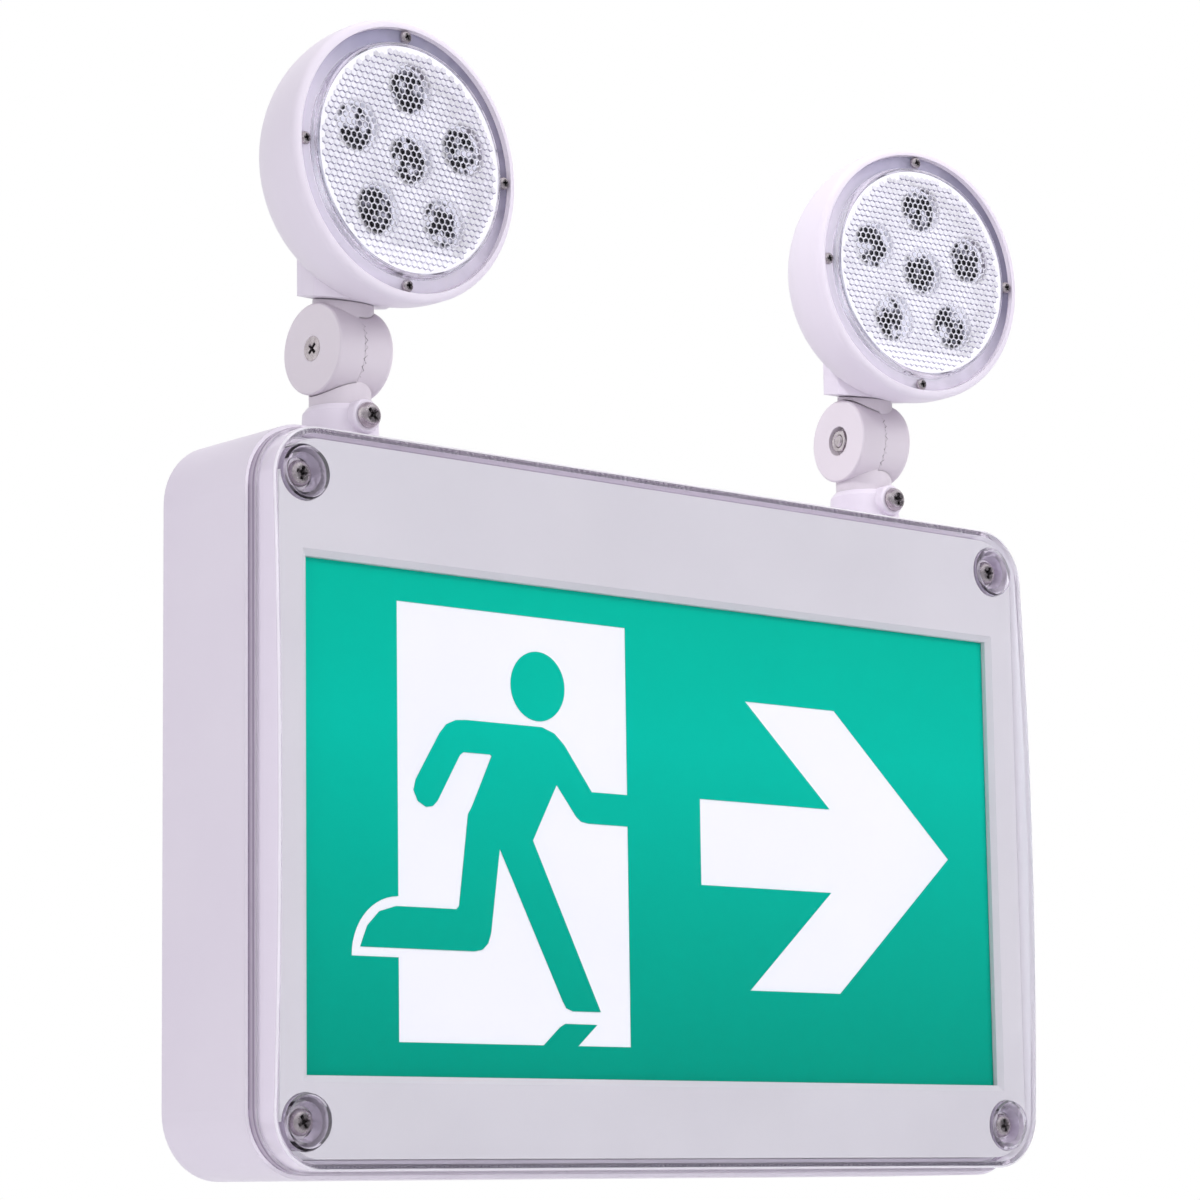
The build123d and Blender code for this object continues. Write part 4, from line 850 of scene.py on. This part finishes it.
def lens_mesh(side):
    # The pattern, the rounded edge of the disc, the flange and the hollow back, as one closed skin.
    bm = bmesh.new()
    front = -LENS_FLANGE_T - LENS_RISE
    last = lens_pattern(bm, front + CELL_DEPTH, front)
    profile = [(PATTERN_R + 0.15, front)]
    for step in range(LENS_EDGE_STEPS + 1):
        turn = step / LENS_EDGE_STEPS * pi / 2
        edge_r = LENS_DISC_R - LENS_EDGE_R + LENS_EDGE_R * sin(turn)
        profile.append((edge_r, front + (LENS_RISE - 0.2) * (1 - cos(turn))))
    profile += [
        (LENS_DISC_R + 0.1, -LENS_FLANGE_T),
        (LENS_R - FLANGE_EDGE, -LENS_FLANGE_T),
        (LENS_R, -LENS_FLANGE_T + FLANGE_EDGE),
        (LENS_R, 0),
        (LENS_DISC_R - LENS_T, 0),
        (LENS_DISC_R - LENS_T, front + LENS_T),
    ]
    for radius, y in profile:
        fresh = circle(bm, radius, y, LENS_STEPS)
        skin(bm, last, fresh)
        last = fresh
    skin(bm, last, [bm.verts.new((0, front + LENS_T, 0))])
    place = lamp_place(side) @ Matrix.Translation((0, RING_Y + LENS_FLANGE_T, HEAD_Z))
    mesh = mesh_from(bm, f"{side} lamp lens")
    mesh.transform(Matrix.Scale(MM, 4) @ place)
    smooth_by_angle(mesh, LENS_CREASE)
    return mesh


def make_lenses():
    for side in sides:
        mesh, finish = lens_mesh(side), lens_finish(side)
        new_piece(f"{side}_patterned_lens", mesh, finish, f"{side}_head", f"{side}_lens")


def stand_camera():
    data = bpy.data.cameras.new("sign camera")
    camera = new_object("sign camera", data)
    data.sensor_width = SENSOR_WIDTH
    data.sensor_fit = "HORIZONTAL"
    data.lens = FOCAL_LENGTH / FRAME_WIDTH * SENSOR_WIDTH
    data.shift_y = FRAME_SHIFT / FRAME_WIDTH
    data.clip_start = NEAR_CLIP
    turn, rise, roll = radians(CAMERA_TURN), radians(CAMERA_RISE), radians(CAMERA_ROLL)
    look = Vector((sin(turn) * cos(rise), cos(turn) * cos(rise), sin(rise)))
    right = Vector((cos(turn), -sin(turn), 0.0))
    up = right.cross(look)
    right_rolled = cos(roll) * right + sin(roll) * up
    up_rolled = -sin(roll) * right + cos(roll) * up
    axes = Matrix((right_rolled, up_rolled, -look)).transposed()
    camera.matrix_world = Matrix.Translation(Vector(CAMERA_PLACE) * MM) @ axes.to_4x4()
    bpy.context.scene.camera = camera


def lay_floor():
    half, z = FLOOR_HALF, FLOOR_HEIGHT
    mesh = bpy.data.meshes.new("studio floor")
    corners = [(-half, -half, z), (half, -half, z), (half, half, z), (-half, half, z)]
    mesh.from_pydata(corners, [], [(0, 1, 2, 3)])
    floor = new_object("studio floor", mesh)
    mesh.materials.append(floor_finish().material)
    floor.visible_glossy = False
    floor.visible_transmission = False


def studio_world():
    """White to the eye, and behind the sign also in reflections and through clear parts.

    Reflections towards the front see a soft box above a duller horizon, with a dark card to the right.
    """
    world = bpy.data.worlds.new("white studio")
    bpy.context.scene.world = world
    world.use_nodes = True
    made = Nodes(world.node_tree)
    white = made.tree.nodes["Background"]
    white.inputs["Color"].default_value = (1, 1, 1, 1)
    white.inputs["Strength"].default_value = 1.0
    room = made.node("ShaderNodeBackground")
    room.inputs["Color"].default_value = ROOM_TINT
    room.inputs["Strength"].default_value = ROOM_LIGHT
    box = made.node("ShaderNodeBackground")
    across, depth, height = made.parts(made.node("ShaderNodeTexCoord").outputs["Generated"])
    shades = made.ramp(made.span(height, -1.0, 1.0), SOFT_BOX)
    off_middle = made.math("ABSOLUTE", made.math("SUBTRACT", height, CARD_MIDDLE))
    card = made.math("MULTIPLY", made.span(across, *CARD_SIDE), made.span(off_middle, *CARD_HALF))
    made.link(made.blend(card, shades, CARD_TINT), box.inputs["Color"])
    path = made.node("ShaderNodeLightPath")
    mirrored = made.math("MAXIMUM", path.outputs["Is Glossy Ray"], path.outputs["Is Transmission Ray"])
    backdrop = made.math("MULTIPLY", mirrored, made.span(depth, *BACK_FADE))
    seen = made.math("MAXIMUM", path.outputs["Is Camera Ray"], backdrop)
    around = made.mix(mirrored, room.outputs["Background"], box.outputs["Background"])
    shown = made.mix(seen, around, white.outputs["Background"])
    made.link(shown, made.tree.nodes["World Output"].inputs["Surface"])


def studio_lamp(name, place, target, size, power, cone=0.0):
    # Round soft lamp, or a spot lamp where a cone in degrees is given.
    data = bpy.data.lights.new(name, "SPOT" if cone else "AREA")
    if cone:
        data.spot_size = radians(cone)
        data.spot_blend = SPOT_BLEND
        data.shadow_soft_size = size / 2
    else:
        data.shape = "DISK"
        data.size = size
    data.energy = power
    lamp = new_object(name, data)
    lamp.location = place
    lamp.rotation_euler = (Vector(target) - Vector(place)).to_track_quat("-Z", "Y").to_euler()
    lamp.visible_camera = False
    lamp.visible_glossy = False
    lamp.visible_transmission = False


# Plain moulded finishes: the nodes, the finish, its light and its shaded colour, and its surface where that
# isn't the usual one.
PLAIN_FINISHES = [
    (["back_housing", "left_head_shell", "right_head_shell"], "white moulded housing",
     (226, 219, 229), (222, 214, 226), {"soft_edge": SOFT_EDGE}),
    (["face_frame"], "light grey legend frame",
     (216, 214, 218), (211, 209, 213), {"roughness": 0.55, "grain": 1400.0, "grain_depth": 0.00003}),
    (["legend_sheet"], "white legend sheet",
     (251, 252, 254), (248, 250, 253), {"roughness": 0.5, "grain": 1200.0, "grain_depth": 0.00001}),
    (["legend_diffuser"], "opal diffuser", (238, 238, 240), (234, 234, 237), {"roughness": 0.4}),
    (["light_tray"], "white light tray", (240, 240, 240), (234, 234, 236), {"roughness": 0.5}),
    (["strip_boards", "left_led_board", "right_led_board"], "white lamp board",
     (240, 240, 244), (233, 233, 238), {"roughness": 0.35, "grain": 700.0, "grain_depth": 0.00001}),
    (["left_led_emitters", "right_led_emitters", "strip_emitters"], "lamp emitter",
     (222, 206, 122), (205, 186, 96), {"roughness": 0.25, "grain": 1500.0}),
    (["cover_seal", "left_lens_seal", "right_lens_seal"], "pale seal",
     (206, 203, 210), (198, 195, 203), {"roughness": 0.7}),
    (["control_board"], "green circuit board", (30, 96, 62), (24, 82, 52), {"roughness": 0.3, "grain": 300.0}),
    (["transformer"], "laminated transformer",
     (112, 104, 92), (92, 84, 74), {"roughness": 0.5, "grain": 400.0}),
    (["board_relays"], "blue relay case", (40, 70, 150), (34, 60, 136), {"roughness": 0.25}),
    (["board_capacitors"], "sleeved capacitor", (44, 44, 52), (36, 36, 42), {"roughness": 0.3}),
    (["board_sockets", "terminal_block"], "ivory connector",
     (228, 226, 212), (220, 218, 202), {"roughness": 0.5}),
    (["test_switch"], "black switch case", (40, 40, 42), (32, 32, 34), {"roughness": 0.5}),
    (["battery_cells"], "blue cell wrap", (52, 92, 160), (44, 82, 150), {"roughness": 0.2}),
    (["battery_cradle", "battery_straps"], "grey battery cradle",
     (206, 206, 204), (198, 198, 196), {"roughness": 0.5}),
    (["test_button"], "grey test button", (196, 196, 200), (190, 190, 194), {"roughness": 0.35}),
    (["pilot_lamp"], "green pilot lamp", (120, 205, 140), (104, 190, 126), {"roughness": 0.15}),
]

optic_spots = [(0.0, OPTIC_FRONT_Y, HEAD_Z)] + ring_spots(5, OPTIC_PCR, 90.0, OPTIC_FRONT_Y)
steel = steel_finish()
for names, title, light, shade, surface in PLAIN_FINISHES:
    set_finish(names, moulded_finish(title, linear(*light), linear(*shade), **surface))
for side in sides:
    set_finish([f"{side}_lower_arm", f"{side}_upper_arm"], arm_finish(side))
    set_finish([f"{side}_led_optics"], optic_finish(side))
set_finish(["front_cover"], clear_cover_finish())
set_finish(["legend_print"], print_finish())
set_finish([name for name in nodes if "screw" in name or "nut" in name], steel)
make_screws()
make_nuts()
make_lenses()

stand_camera()
lay_floor()
studio_world()
for lamp in LAMPS:
    studio_lamp(*lamp)

bpy.context.scene.view_settings.view_transform = "Standard"

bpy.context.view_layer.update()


def plain(box):
    return [[float(v) for v in corner] for corner in box]
